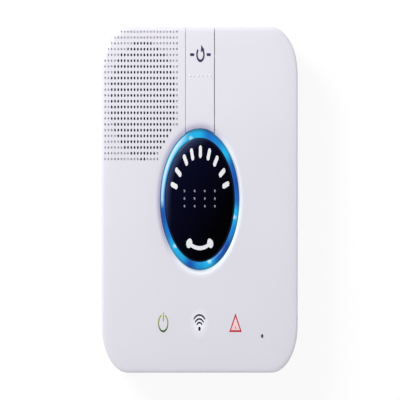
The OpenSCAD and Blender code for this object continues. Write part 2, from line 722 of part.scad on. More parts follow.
module_board = 0.8;
cell_side = 21.5;
cell_rise = 12.5;
cell_shield = 2.8;
cell_rim = 0.6;
cell_at = [right - cell_side, min(pivot_y + cell_rise, upper_boss_low - cell_l / 2)];
module cell_module() color(steel) {
    block(cell_at, cell_w, cell_l, pcb_top, pcb_top + module_board);
    block(cell_at, cell_w - 2 * cell_rim, cell_l - 2 * cell_rim,
        pcb_top + module_board - 0.1, pcb_top + cell_shield);
}
shield_h = 2.6;
shield_rise = 9;
shield_gap = 0.9;
module processor_shield() color(steel)
    block([slide_back - shield_gap - shield_w / 2, bay_top + shield_rise + shield_w / 2], shield_w, shield_w,
        pcb_bottom - shield_h, pcb_bottom);
radio_w = 10;
radio_l = 18;
radio_side = 6.5;
radio_drop = 14;
radio_can_w = 7;
radio_can_l = 9;
radio_shield = 2.4;
module radio_module() color([0.1, 0.2, 0.5]) {
    at = [-board_x + radio_side, pcb_screw_spots[3].y - radio_drop];
    block(at, radio_w, radio_l, pcb_top, pcb_top + module_board + 0.2);
    block(at, radio_can_w, radio_can_l, pcb_top + module_board + 0.1, pcb_top + radio_shield);
}

antenna_low = -48;
antenna_top = 4;
antenna_t = 0.8;
module cell_antenna() color([0.55, 0.35, 0.12])
    box([right - wall - antenna_t, antenna_low, floor_z + 2], [right - wall, antenna_top, split_z - 1.5]);
antenna_lead_r = 0.7;
module antenna_cable() color(black) {
    from = [right - wall - antenna_t - antenna_lead_r, antenna_top - 2, split_z - 4];
    to = [cell_at.x + 6, cell_at.y - cell_l / 2, pcb_top + 2.1];
    rise = [from.x, antenna_top + 10, pcb_top + 3.4];
    lead(concat(bezier(from, from + [0, 5, 0], rise - [0, 1, 6], rise, 8),
        [for (p = bezier(rise, rise + [0, 2, 1.5], to - [0, 7, 0], to, 9)) if (p != rise) p]),
        antenna_lead_r);
}

// ---- Speaker ----

rim_z = under_z - gasket_t;
rim_t = 0.7;
basket_wall = 0.7;
basket_z = rim_z - basket_h;
basket_w = field_w - 0.8;
basket_l = field_l - 0.8;
function at_speaker(w, l, z) = raise(moved(oval(w, l), speaker_at), z);
module speaker_gasket() color(black) difference() {
    slab(moved(oval(speaker_w, speaker_l), speaker_at), rim_z, under_z);
    slab(moved(oval(field_w + 0.6, field_l + 0.6), speaker_at), rim_z - 1, under_z + 1);
}
module speaker_frame() color([0.25, 0.25, 0.27]) difference() {
    union() {
        slab(moved(oval(speaker_w, speaker_l), speaker_at), rim_z - rim_t, rim_z);
        slab(moved(oval(basket_w, basket_l), speaker_at), basket_z, rim_z - rim_t);
    }
    slab(moved(oval(basket_w - 2 * basket_wall, basket_l - 2 * basket_wall), speaker_at),
        basket_z + basket_wall, rim_z + 1);
    for (s = [-1, 1])
        slab(moved(oval(12, 8, 24), speaker_at + [0, s * (field_l / 2 - 8)]), basket_z - 1, basket_z + 1);
}
module speaker_magnet() color([0.3, 0.3, 0.32]) post(speaker_at, magnet_r, basket_z - magnet_h, basket_z);
module speaker_cone() color([0.12, 0.12, 0.13]) {
    w = basket_w - 2 * basket_wall - 0.4;
    l = basket_l - 2 * basket_wall - 0.4;
    t = 0.5;
    deep = basket_z + basket_wall;
    difference() {
        loft([at_speaker(10, 14, deep), at_speaker(w, l, rim_z - rim_t - t),
            at_speaker(w, l, rim_z - rim_t)]);
        loft([at_speaker(10, 13, deep + 1.2), at_speaker(w - 2, l - 3, rim_z - rim_t + 0.1)]);
    }
    loft([at_speaker(9, 12, deep + 0.6), at_speaker(9, 12, deep + 1.6), at_speaker(6, 8, deep + 2.2)]);
}
socket_w = 6;
socket_l = 4.8;
socket_h = 3.6;
socket_gap = 1.8;
socket_drop = 5.8;
socket_at = [-boss_x - pcb_boss_r - 0.3 - socket_gap - socket_w / 2,
    speaker_at.y - speaker_l / 2 - socket_drop];
module speaker_socket() color("ivory")
    block(socket_at, socket_w, socket_l, pcb_top, pcb_top + socket_h);
speaker_lead_r = 0.8;
module speaker_lead() color("firebrick") {
    from = [socket_at.x, socket_at.y + socket_l / 2, pcb_top + 2];
    to = [speaker_at.x - 4, speaker_at.y - magnet_r - 6, basket_z - speaker_lead_r];
    sag = bezier(from + [0, 0.6, 0], from + [0, 4, -1], to + [0, -8, -3], to - [0, 3, 0], 9);
    lead(concat([from], sag, [to]), speaker_lead_r);
}

// ---- Power ----

module battery_pack() color(wrap_blue)
    translate([0, pack_low + cell_length, pack_z + cell_r]) rotate([90, 0, 0])
        linear_extrude(cell_length) union() {
            square([pack_w - 2 * cell_r, 2 * cell_r], center = true);
            for (s = [-1, 1]) translate([s * (pack_w / 2 - cell_r), 0]) circle(r = cell_r);
        }
battery_socket_w = 6.4;
battery_socket_h = 6;
battery_socket_rise = 14;
battery_socket_at = [battery_lead_x, bay_top + battery_socket_rise];
module battery_socket() color("ivory")
    block(battery_socket_at, battery_socket_w, battery_socket_h, pcb_bottom - battery_socket_h, pcb_bottom);
module battery_lead() color("crimson") {
    from = [battery_lead_x, pack_low + cell_length, pack_z + cell_r];
    to = [battery_socket_at.x, battery_socket_at.y, pcb_bottom - battery_socket_h];
    bend = [from.x, bay_top + bay_wall + 2, from.z];
    turn = bezier(bend, bend + [0, 8, 0], to - [0, 0, 5], to - [0, 0, 0.6], 9);
    lead(concat([from], turn, [to]), battery_lead_r);
}

module power_jack() color(black) difference() {
    union() {
        box([jack_at.x - jack_w / 2, jack_at.y - fit_gap - jack_back, pcb_bottom - jack_h],
            [jack_at.x + jack_w / 2, jack_at.y - fit_gap, pcb_bottom]);
        translate([jack_at.x, jack_at.y - 1, jack_z])
            rotate([-90, 0, 0]) cylinder(r = jack_nose_r, h = wall + 0.4);
    }
    difference() {
        translate([jack_at.x, top_end - 0.6 - jack_depth, jack_z]) rotate([-90, 0, 0])
            cylinder(r = jack_bore_r, h = jack_depth + 2);
        translate([jack_at.x, top_end - 2.6 - jack_depth, jack_z]) rotate([-90, 0, 0])
            cylinder(r = jack_pin_r, h = jack_depth);
    }
}

slide_back = board_x - 4.6;
knob_foot = slide_back + 2;
knob_y = slide_y - slide_travel / 2;
slide_l = 8.8;
slide_h = 3.8;
module power_switch() color(steel) difference() {
    box([slide_back, slide_y - slide_l / 2, pcb_bottom - slide_h],
        [board_x, slide_y + slide_l / 2, pcb_bottom]);
    box([knob_foot - fit_gap, slide_y - knob_path / 2 - fit_gap, slide_z - knob_h / 2 - fit_gap],
        [board_x + 1, slide_y + knob_path / 2 + fit_gap, slide_z + knob_h / 2 + fit_gap]);
}
module power_switch_knob() color(black)
    box([knob_foot, knob_y - knob_w / 2, slide_z - knob_h / 2],
        [right - 0.4, knob_y + knob_w / 2, slide_z + knob_h / 2]);

front_cover();
rear_cover();
battery_door();
rubber_feet();
case_screws();
door_screw();
light_ring();
emergency_button();
button_carrier();
button_housing();
housing_screws();
button_springs();
button_switch();
button_switch_stem();
ring_leds();
reset_key();
reset_pin();
reset_spring();
reset_switch();
reset_switch_stem();
main_pcb();
pcb_screws();
indicator_light_pipe();
indicator_leds();
microphone();
microphone_boot();
cell_module();
processor_shield();
radio_module();
cell_antenna();
antenna_cable();
speaker_gasket();
speaker_frame();
speaker_magnet();
speaker_cone();
speaker_socket();
speaker_lead();
battery_pack();
battery_socket();
battery_lead();
power_jack();
power_switch();
power_switch_knob();
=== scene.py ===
"""Looks of a medical alert base station: white covers, a lit ring round a dark oval button, a long
reset key, a perforated speaker field and what sits inside. Sizes are metres, in the part's own frame."""

import math

import bmesh
import bpy
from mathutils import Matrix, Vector


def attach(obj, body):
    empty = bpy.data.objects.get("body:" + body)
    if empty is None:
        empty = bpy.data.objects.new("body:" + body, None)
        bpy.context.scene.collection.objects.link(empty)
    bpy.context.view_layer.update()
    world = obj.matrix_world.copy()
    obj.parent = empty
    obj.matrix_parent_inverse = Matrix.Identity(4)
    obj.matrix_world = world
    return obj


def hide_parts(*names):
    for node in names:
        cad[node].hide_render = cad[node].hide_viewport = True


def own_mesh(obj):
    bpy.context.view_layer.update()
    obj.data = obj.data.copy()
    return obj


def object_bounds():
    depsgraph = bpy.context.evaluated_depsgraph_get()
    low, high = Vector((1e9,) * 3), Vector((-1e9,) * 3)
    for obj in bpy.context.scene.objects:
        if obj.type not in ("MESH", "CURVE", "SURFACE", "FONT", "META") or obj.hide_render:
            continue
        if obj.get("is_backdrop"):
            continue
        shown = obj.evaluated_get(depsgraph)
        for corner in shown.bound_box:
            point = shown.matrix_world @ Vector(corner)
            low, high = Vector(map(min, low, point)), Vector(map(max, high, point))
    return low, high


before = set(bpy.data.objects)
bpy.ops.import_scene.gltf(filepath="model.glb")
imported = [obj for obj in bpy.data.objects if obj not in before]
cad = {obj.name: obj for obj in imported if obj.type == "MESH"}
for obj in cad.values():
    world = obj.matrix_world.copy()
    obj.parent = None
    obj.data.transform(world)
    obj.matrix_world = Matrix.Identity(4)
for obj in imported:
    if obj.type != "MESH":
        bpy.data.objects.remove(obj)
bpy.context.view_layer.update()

# ---- Camera ----
# A long lens looks straight down on the face. The case's middle lies a quarter of a pixel left of
# the picture's middle and a tenth of a pixel above it.
mm = 0.001
face = 30.4 * mm
picture_pixels, pixel = 400, 0.4337 * mm
camera_reach, sensor_width = 1.5, 36

bpy.ops.object.camera_add(location=(0.25 * pixel, -0.1 * pixel, face + camera_reach), rotation=(0, 0, 0))
camera = bpy.context.object
camera.data.sensor_width = sensor_width
camera.data.lens = sensor_width * camera_reach / (picture_pixels * pixel)
camera.data.clip_start = 0.05
bpy.context.scene.camera = camera
bpy.context.scene.view_settings.view_transform = "Standard"


# ---- Table and light ----
# A matt white table under a large soft box at the upper left, in a pale room with a dark ceiling
# over the camera and a white card at the lower right. The table keeps the case's soft shadow.
def wire(tree, kind, inputs=(), **settings):
    """A new shader node with its settings, and its inputs wired or set."""
    made = tree.nodes.new("ShaderNode" + kind)
    for name, value in settings.items():
        setattr(made, name, value)
    for name, value in dict(inputs).items():
        if isinstance(value, bpy.types.NodeSocket):
            tree.links.new(value, made.inputs[name])
        else:
            made.inputs[name].default_value = value
    return made


def sums(tree, operation, *values):
    """A Math node over plain numbers and sockets, and its result."""
    made = tree.nodes.new("ShaderNodeMath")
    made.operation = operation
    for slot, value in zip(made.inputs, values):
        if isinstance(value, bpy.types.NodeSocket):
            tree.links.new(value, slot)
        else:
            slot.default_value = value
    return made.outputs[0]


def ramped(tree, value, start, end, low=0.0, high=1.0, soft=False):
    """Carries a value's way from start to end over to low and high."""
    limits = {"Value": value, "From Min": start, "From Max": end, "To Min": low, "To Max": high}
    made = wire(tree, "MapRange", limits)
    if soft:
        made.interpolation_type = "SMOOTHSTEP"
    return made.outputs[0]


def vectors(tree, operation, *values):
    """A VectorMath node over vectors and sockets."""
    return wire(tree, "VectorMath", dict(enumerate(values)), operation=operation)


def seen_rays(tree):
    """The light path, and 1 for rays that come from the camera, a mirror-like surface or glass."""
    path = wire(tree, "LightPath")
    glossy, glass = path.outputs["Is Glossy Ray"], path.outputs["Is Transmission Ray"]
    return path, sums(tree, "MAXIMUM", path.outputs["Is Camera Ray"], sums(tree, "MAXIMUM", glossy, glass))


bpy.ops.mesh.primitive_plane_add(size=4)
table = bpy.context.object
table.name = "table"
table_finish = bpy.data.materials.new("matt_white_table")
table_finish.use_nodes = True
tree = table_finish.node_tree
tree.nodes.clear()
seen = seen_rays(tree)[1]
matt = wire(tree, "BsdfDiffuse", {"Color": (0.8, 0.8, 0.8, 1)})
shaded = wire(tree, "BsdfDiffuse", {"Color": (0.15, 0.15, 0.15, 1)})
glow = wire(tree, "Emission", {"Color": (1, 1, 1, 1), "Strength": 0.88})
lit = wire(tree, "AddShader", {0: shaded.outputs[0], 1: glow.outputs[0]})
both = wire(tree, "MixShader", {0: seen, 1: matt.outputs[0], 2: lit.outputs[0]})
wire(tree, "OutputMaterial", {"Surface": both.outputs[0]})
table.data.materials.append(table_finish)
table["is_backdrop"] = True

ceiling_level, card_level, wall_level = 0.40, 1.5, 0.62
card_way = (0.66, -0.75, 0)
room = bpy.data.worlds.new("pale_room")
bpy.context.scene.world = room
room.use_nodes = True
tree = room.node_tree
tree.nodes.clear()
path, seen = seen_rays(tree)
sky = wire(tree, "TexCoord").outputs["Generated"]
up = wire(tree, "SeparateXYZ", {0: sky}).outputs["Z"]
ceiling = ramped(tree, up, 0.78, 0.96, 1.0, 0.02, soft=True)
mirrored = sums(tree, "MULTIPLY", path.outputs["Is Glossy Ray"], ceiling)
plain = sums(tree, "MAXIMUM", path.outputs["Is Camera Ray"], path.outputs["Is Transmission Ray"])
white = wire(tree, "Background", {"Color": (1, 1, 1, 1), "Strength": sums(tree, "MAXIMUM", plain, mirrored)})
toward = vectors(tree, "DOT_PRODUCT", sky, card_way).outputs["Value"]
card = ramped(tree, toward, -0.3, 0.5, wall_level, card_level)
sides = ramped(tree, up, 0.0, 0.5, card, ceiling_level, soft=True)
dim = wire(tree, "Background", {"Color": (0.97, 0.97, 1.0, 1), "Strength": sides})
both = wire(tree, "MixShader", {0: seen, 1: dim.outputs[0], 2: white.outputs[0]})
wire(tree, "OutputWorld", {"Surface": both.outputs[0]})

bpy.ops.object.light_add(type="AREA", location=(-0.42, 0.47, 0.65))
soft_box = bpy.context.object
soft_box.data.shape = "DISK"
soft_box.data.size = 0.4
soft_box.data.energy = 5.95
soft_box.rotation_euler = (-soft_box.location).to_track_quat("-Z", "Y").to_euler()


# ---- Front cover ----
# The upper half of the case, moulded in pale satin ABS with a fine spark-eroded grain. The field of
# small holes is moulded through in front of the speaker and blind round it.
width, length = 85 * mm, 150 * mm
corner, stretch = 11.5 * mm, 20.4 / 11.5
squeeze = 1.775
split_line, under_face, edge_start, wall = 21.0 * mm, 28.4 * mm, 29.1 * mm, 2.4 * mm
pin_y, pin_z = 34.5, 26.9


def alone(piece):
    """Makes this the one selected and active piece."""
    bpy.ops.object.select_all(action="DESELECT")
    piece.select_set(True)
    bpy.context.view_layer.objects.active = piece
    return piece


def pick(kind, test):
    """In edit mode, selects the faces, edges or verts whose middle and normal pass the test."""
    bpy.ops.mesh.select_mode(type={"faces": "FACE", "edges": "EDGE", "verts": "VERT"}[kind])
    bpy.ops.mesh.select_all(action="DESELECT")
    mesh = bmesh.from_edit_mesh(bpy.context.object.data)
    for item in getattr(mesh, kind):
        if kind == "faces":
            hit = test(item.calc_center_median(), item.normal)
        elif kind == "edges":
            a, b = (v.co for v in item.verts)
            hit = test((a + b) / 2, (b - a).normalized())
        else:
            hit = test(item.co, item.normal)
        item.select_set(bool(hit))
    mesh.select_flush_mode()
    bmesh.update_edit_mesh(bpy.context.object.data)


def rise(dz, sx=1.0, sy=1.0):
    """Extrudes the selected faces up or down and draws them in about the case's middle line."""
    bpy.ops.mesh.extrude_region_move(TRANSFORM_OT_translate={"value": (0, 0, dz)})
    bpy.ops.transform.resize(value=(sx, sy, 1), center_override=(0, 0, 0))


def rounded_block(low, high):
    """A block with the case's drawn-out corners, left in edit mode."""
    bpy.ops.mesh.primitive_cube_add(size=1, location=(0, 0, (low + high) / 2),
                                    scale=(width, length / stretch, high - low))
    bpy.ops.object.transform_apply()
    bpy.ops.object.mode_set(mode="EDIT")
    pick("edges", lambda at, way: abs(way.z) > 0.9)
    bpy.ops.mesh.bevel(offset=corner, segments=14, affect="EDGES")
    bpy.ops.mesh.select_all(action="SELECT")
    bpy.ops.transform.resize(value=(1, stretch, 1), center_override=(0, 0, 0))
    return bpy.context.object


def drawn_in(steps, was):
    """Carries a flat end through steps of (in across, in along, height)."""
    for across, along, z in steps:
        rise(z - was[2], (width / 2 - across) / (width / 2 - was[0]),
             (length / 2 - along) / (length / 2 - was[1]))
        was = (across, along, z)


case_form = rounded_block(split_line, edge_start)
pick("faces", lambda at, out: out.z > 0.9)
round_across, round_along, round_up = 1.3 * mm, 2.3 * mm, 1.1 * mm
edge = [(round_across * (1 - math.cos(a)), round_along * (1 - math.cos(a)),
         edge_start + round_up * math.sin(a))
        for a in (math.radians(d) for d in (17, 34, 51, 68, 82))]
roll_off = ((2.1, 30.28), (3.1, 30.35), (4.1, 30.385), (5.0, 30.4))
edge += [(x * mm, x * stretch * mm, z * mm) for x, z in roll_off]
drawn_in(edge, (0, 0, edge_start))
bpy.ops.object.mode_set(mode="OBJECT")
case_form.name = "case_form"


def copy_of(piece, name):
    """Another piece with its own mesh."""
    alone(piece)
    bpy.ops.object.duplicate()
    bpy.context.object.name = name
    return bpy.context.object


def block(low, high):
    """A plain block between two corners in mm, to cut with or to build on."""
    bpy.ops.mesh.primitive_cube_add(size=1, location=[(a + b) / 2 * mm for a, b in zip(low, high)],
                                    scale=[(b - a) * mm for a, b in zip(low, high)])
    bpy.ops.object.transform_apply()
    return bpy.context.object


def rod(at, across, along, low, high, sides=48):
    """A round or oval rod in mm, to cut with or to build on."""
    bpy.ops.mesh.primitive_cylinder_add(vertices=sides, radius=0.5, depth=1,
                                        location=(at[0] * mm, at[1] * mm, (low + high) / 2 * mm))
    bpy.context.object.scale = (across * mm, along * mm, (high - low) * mm)
    bpy.ops.object.transform_apply()
    return bpy.context.object


def lying(axis, at, across, low, high, sides=48):
    """A rod along X or Y, at its two other coordinates in mm."""
    made = rod((0, 0), across, across, -(high - low) / 2, (high - low) / 2, sides)
    along_x, middle = axis == "X", (low + high) / 2
    place = (middle, *at) if along_x else (at[0], middle, at[1])
    bpy.ops.transform.rotate(value=math.radians(90), orient_axis="Y" if along_x else "X",
                             center_override=(0, 0, 0))
    bpy.ops.transform.translate(value=[v * mm for v in place])
    bpy.ops.object.transform_apply()
    return made


def eased(piece, by, segments, test):
    """Rounds the edges whose middle and direction pass the test."""
    alone(piece)
    bpy.ops.object.mode_set(mode="EDIT")
    pick("edges", test)
    bpy.ops.mesh.bevel(offset=by * mm, segments=segments, affect="EDGES")
    bpy.ops.object.mode_set(mode="OBJECT")
    return piece


def shaped_by(piece, *tools, way="DIFFERENCE"):
    """Cuts tools out of a piece, or joins them to it, and removes the tools."""
    for tool in tools:
        alone(piece)
        bpy.ops.object.modifier_add(type="BOOLEAN")
        cut = piece.modifiers[-1]
        cut.operation, cut.solver, cut.object = way, "EXACT", tool
        bpy.ops.object.modifier_apply(modifier=cut.name)
        bpy.data.objects.remove(tool)
    return piece


def joined(*parts):
    """Several loose parts as one mesh."""
    bpy.ops.object.select_all(action="DESELECT")
    for part in parts:
        part.select_set(True)
    bpy.context.view_layer.objects.active = parts[0]
    bpy.ops.object.join()
    return bpy.context.object


front_cover = copy_of(case_form, "front_cover_shell")
bpy.ops.object.mode_set(mode="EDIT")
pick("faces", lambda at, out: out.z < -0.9)
bpy.ops.mesh.inset(thickness=wall)
rise(under_face - split_line)
bpy.ops.object.mode_set(mode="OBJECT")

upper_screws = [(s * 12.2, 68) for s in (-1, 1)]
lower_screws = [(s * 35, -63) for s in (-1, 1)]
board_screws = [(-33.5, -50), (33.5, -50), (33.5, 46), (-34, 2)]
button_screws = [(sx * 21.45, sy * 12) for sx in (-1, 1) for sy in (-1, 1)]
boss_top = 28.8
bosses = [rod(at, 6.5, 6.5, 21.0, boss_top, 32) for at in upper_screws + lower_screws]
bosses += [rod(at, 4.9, 4.9, 22.4, boss_top, 32) for at in board_screws]
bosses += [rod(at, 4.9, 4.9, 25.6, boss_top, 32) for at in button_screws]
pin_cheeks = [block((x, pin_y - 1.7, 25.2), (x + 1.5, pin_y + 1.7, boss_top)) for x in (-7.85, 6.35)]
shaped_by(front_cover, joined(*bosses, *pin_cheeks), way="UNION")

ring_opening = rod((0, 0), 33.0, 59.9, 27, 32, 96)
key_opening = block((-6.25, 24, 25.3), (6.52, 76, 32))
shaped_by(front_cover, ring_opening, key_opening)
eased(front_cover, 0.18, 2,
      lambda at, way: at.z > 30.2 * mm and 6.2 * mm < abs(at.x) < 6.6 * mm and abs(way.y) > 0.9)
sign_x, sign_y = (-15.65, 0, 15.65), -53.2
windows = [rod((x, sign_y), 6.2, 6.2, 27, 29.7, 32) for x in sign_x]
microphone_hole = rod((27.1, -59.1), 1.1, 1.8, 27, 32, 20)
shaped_by(front_cover, joined(microphone_hole, *windows))

first_hole, step_across, step_along, side_holes = (-41.01, 72.93), 1.415, 2.51, 23
corner_reach = 36.8
field_at, field_w, field_l = (-24.74, 43.56), 28.9, 51.8
first_in_row = {0: 5, 1: 3, 2: 2, 3: 1, 4: 1}
last_in_row = {17: 20, 18: 19, 19: 18, 20: 17, 21: 16, 22: 16}


def holes(low, across, along, wanted):
    """One hole's cutter, set out in columns and rows and thinned to the wanted spots."""
    hole = rod(first_hole, across, along, low, 31, 14)
    for offset in ((step_across * mm, 0, 0), (0, -step_along * mm, 0)):
        bpy.ops.object.modifier_add(type="ARRAY")
        row = hole.modifiers[-1]
        row.count, row.use_relative_offset, row.use_constant_offset = side_holes, False, True
        row.constant_offset_displace = offset
        bpy.ops.object.modifier_apply(modifier=row.name)
    bpy.ops.object.mode_set(mode="EDIT")

    def unwanted(at, out):
        c = round((at.x / mm - first_hole[0]) / step_across)
        r = round((first_hole[1] - at.y / mm) / step_along)
        x, y = first_hole[0] + c * step_across, first_hole[1] - r * step_along
        there = first_in_row.get(r, 0) <= c <= last_in_row.get(r, side_holes - 1)
        there = there and math.hypot(x * squeeze, y) > corner_reach
        through = math.hypot(2 * (x - field_at[0]) / field_w, 2 * (y - field_at[1]) / field_l) < 1
        return not (there and through == wanted)

    pick("verts", unwanted)
    bpy.ops.mesh.delete(type="VERT")
    bpy.ops.object.mode_set(mode="OBJECT")
    return hole


open_holes, dimples = holes(27.5, 0.79, 1.34, True), holes(29.3, 0.64, 1.12, False)
shaped_by(front_cover, joined(open_holes, dimples))


def smoothed(piece, angle=32):
    """Soft shading with crisp edges, and flat faces that stay flat."""
    alone(piece)
    bpy.ops.object.shade_smooth_by_angle(angle=math.radians(angle))
    bpy.ops.object.modifier_add(type="WEIGHTED_NORMAL")
    piece.modifiers[-1].keep_sharp = True
    bpy.ops.object.modifier_apply(modifier=piece.modifiers[-1].name)
    return piece


def at_object(tree):
    """Where a point lies on the object."""
    return wire(tree, "TexCoord").outputs["Object"]


def noise(tree, place, scale, detail=2.0, **more):
    """Soft noise of a scale, from 0 to 1."""
    return wire(tree, "TexNoise", {"Vector": place, "Scale": scale, "Detail": detail, **more}).outputs[0]


def new_group(name, kind, *sockets):
    """A shader group with outputs of one kind, and the inputs of its output node."""
    tree = bpy.data.node_groups.new(name, "ShaderNodeTree")
    for socket in sockets:
        tree.interface.new_socket(socket, in_out="OUTPUT", socket_type="NodeSocket" + kind)
    return tree, tree.nodes.new("NodeGroupOutput").inputs


def fed(tree, inputs, **values):
    """Links sockets to a node's inputs by name."""
    for name, value in values.items():
        tree.links.new(value, inputs[name.replace("_", " ")])


def grain_group():
    """Moulded plastic's fine grain: a tint, a roughness and a height, on Object coordinates."""
    tree, kept = new_group("moulded_grain", "Float", "Tint", "Roughness", "Height")
    grain_size = tree.interface.new_socket("Grain size", in_out="INPUT", socket_type="NodeSocketFloat")
    grain_size.default_value = 2600
    size = tree.nodes.new("NodeGroupInput").outputs[0]
    place = at_object(tree)
    broad = noise(tree, place, 28.0, 3.0)
    cells = wire(tree, "TexVoronoi", {"Vector": place, "Scale": sums(tree, "MULTIPLY", size, 0.6)}).outputs[0]
    height = sums(tree, "ADD", sums(tree, "MULTIPLY", noise(tree, place, size), 0.7),
                  sums(tree, "MULTIPLY", cells, 0.3))
    fed(tree, kept, Tint=ramped(tree, broad, 0.3, 0.7, 0.985, 1.0),
        Roughness=ramped(tree, broad, 0.3, 0.7, 0.40, 0.47), Height=height)
    return tree


moulded_grain = grain_group()


def new_finish(name, **constants):
    """A material with its shader's own sockets set."""
    made = bpy.data.materials.new(name)
    made.use_nodes = True
    shader = made.node_tree.nodes["Principled BSDF"]
    for key, value in constants.items():
        shader.inputs[key.replace("_", " ")].default_value = value
    return made, made.node_tree, shader.inputs


def group_node(tree, group, **inputs):
    """A group in a material with its own inputs set, and the outputs of its node."""
    node = tree.nodes.new("ShaderNodeGroup")
    node.node_tree = group
    for key, value in inputs.items():
        node.inputs[key.replace("_", " ")].default_value = value
    return node.outputs


def blend(tree, amount, first, second):
    """One colour at 0 and another at 1."""
    return wire(tree, "Mix", {0: amount, 6: first, 7: second}, data_type="RGBA").outputs[2]


def tinted(tree, colour, amount, dark=0.0):
    """A colour that is dimmed by a 0 to 1 amount."""
    return blend(tree, amount, (*(c * dark for c in colour), 1), (*colour, 1))


def relief(tree, inputs, height, strength, depth):
    """A small relief, so many mm deep."""
    bump = wire(tree, "Bump", {"Height": height, "Strength": strength, "Distance": depth * mm})
    fed(tree, inputs, Normal=bump.outputs[0])


def moulded(name, colour, size=2600, depth=0.012, **constants):
    """A moulded plastic with the fine grain in its colour, roughness and bump."""
    made, tree, inputs = new_finish(name, **constants)
    grain = group_node(tree, moulded_grain, Grain_size=size)
    fed(tree, inputs, Base_Color=tinted(tree, colour, grain["Tint"]), Roughness=grain["Roughness"])
    relief(tree, inputs, grain["Height"], 0.35, depth)
    return made, tree, inputs


ring_half = (17.35, 30.8)
light_way = (0.80, -0.60, 0)


def on_oval(tree, half_across, half_along, centre=(0, 0)):
    """The place measured in an oval's half axes in mm, and its distance from the oval's centre."""
    even = wire(tree, "Mapping", {
        "Vector": at_object(tree), "Scale": (1 / (half_across * mm), 1 / (half_along * mm), 0),
        "Location": (-centre[0] / half_across, -centre[1] / half_along, 0)}).outputs[0]
    return even, vectors(tree, "LENGTH", even).outputs["Value"]


def painted_face_light_group():
    """Painted light on the cover: a painted violet shade and a painted pale glow round the ring, and a
    painted lit patch at the signal sign.
    """
    tree, kept = new_group("face_light", "Color", "Shade", "Glow")
    even, out = on_oval(tree, *ring_half)
    near, far = (ramped(tree, out, 1.0, end, 1.0, 0.0, soft=True) for end in (1.07, 1.125))
    facing = sums(tree, "DIVIDE", vectors(tree, "DOT_PRODUCT", even, light_way).outputs["Value"], out)
    right = ramped(tree, facing, -0.5, 0.25, soft=True)
    left = sums(tree, "SUBTRACT", 1.0, right)
    dimmed = sums(tree, "MULTIPLY", far, sums(tree, "MULTIPLY", left, 0.85))
    inside = on_oval(tree, 4.4, 7.2, (-0.2, -53.4))[1]
    patch = sums(tree, "ADD", ramped(tree, inside, 0.75, 1.0, 0.05, 0.0, soft=True),
                 ramped(tree, inside, 0.25, 0.75, 0.13, 0.0, soft=True))
    full = sums(tree, "POWER", sums(tree, "MAXIMUM", facing, 0.0), 3.0)
    thin = sums(tree, "MULTIPLY", sums(tree, "MULTIPLY", near, full), 0.75)
    wide = sums(tree, "MULTIPLY", far, 0.19)
    close = sums(tree, "MULTIPLY", sums(tree, "ADD", thin, wide), right)
    pale = vectors(tree, "SCALE", (0.84, 0.98, 1.0))
    fed(tree, pale.inputs, Scale=sums(tree, "ADD", close, patch))
    fed(tree, kept, Shade=blend(tree, dimmed, (1, 1, 1, 1), (0.52, 0.50, 0.66, 1)), Glow=pale.outputs[0])
    return tree


abs_white = (0.810, 0.792, 0.855)
# The face's colour carries painted light: a painted violet shade on the ring's upper-left side, a painted
# pale glow on its lower-right side, and a painted glow at the signal sign.
face_finish_painted_light, tree, inputs = moulded("pale_abs_face_painted_light", abs_white, IOR=1.46, Emission_Strength=1.0)
painted_light = group_node(tree, painted_face_light_group())
plain_colour = inputs["Base Color"].links[0].from_socket
shaded = vectors(tree, "MULTIPLY", plain_colour, painted_light["Shade"]).outputs[0]
fed(tree, inputs, Base_Color=shaded, Emission_Color=painted_light["Glow"])
bulk_finish = moulded("pale_abs", abs_white, IOR=1.46)[0]


def fitted(piece, finish, body, slot, *stands_for, angle=32):
    """Shading, finish, and the body and nodes that a finished piece goes with; the slot is not used."""
    smoothed(piece, angle)
    piece.data.materials.clear()
    piece.data.materials.append(finish)
    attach(piece, body)
    if stands_for:
        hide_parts(*stands_for)
    return piece


fitted(front_cover, face_finish_painted_light, "housing", "case_white", "front_cover")

# ---- Reset key ----
# A long key in the same ABS, hinged on a steel pin near the ring. It is cut from the cover's own
# curve, so that it lies flush, and a fine seam runs down each side.
reset_key = copy_of(case_form, "reset_key_cap")
key_space = block((-6.12, 20, 26.5), (6.27, 76, 32))
shaped_by(reset_key, key_space, way="INTERSECT")
ring_space = rod((0, 0), 35.2, 62.1, 20, 34, 128)
room_below = block((-7, 20, 20), (7, 72.6, 28.4))
shaped_by(reset_key, ring_space, room_below)
eased(reset_key, 0.18, 2, lambda at, way: at.z > 29.0 * mm and abs(at.x) > 6.1 * mm)
barrel = lying("X", (pin_y, pin_z), 3.4, -6, 6, 32)
pusher = rod((0, 58), 4.1, 4.1, 27.0, 28.9, 32)
shaped_by(reset_key, joined(barrel, pusher), way="UNION")
shaped_by(reset_key, lying("X", (pin_y, pin_z), 1.7, -7, 7, 28))
fitted(reset_key, face_finish_painted_light, "reset", "key_white", "reset_key")
bpy.data.objects.remove(case_form)

# ---- Light ring ----
# A clear blue guide, moulded as a rounded bead that laps the cover, lit from below by twelve lamps.
# It glows in turns of pale and deep blue, with bright points where a lamp stands close. A painted white
# highlight streak runs along its upper-left outer edge, a painted pale rim along its lower-right outer
# edge, and its outer edge is painted darker as shade.
ring_long, ring_wide = 61.6, 34.7
foot_long, foot_wide = 59.7, 32.8
bead_r, bead_z, bead_wide, bead_high = 16.275, 29.6, 2.15, 4.8
bpy.ops.mesh.primitive_plane_add(size=1, location=(bead_r * mm, 0, bead_z * mm),
                                 rotation=(math.radians(90), 0, 0))
light_ring = bpy.context.object
light_ring.scale = (bead_wide * mm, bead_high * mm, 1)
bpy.ops.object.transform_apply()
light_ring.name = "light_ring_guide"
bpy.ops.object.mode_set(mode="EDIT")
pick("verts", lambda at, out: at.z > face and at.x > 16 * mm)
bpy.ops.mesh.bevel(offset=1.15 * mm, segments=6, affect="VERTICES")
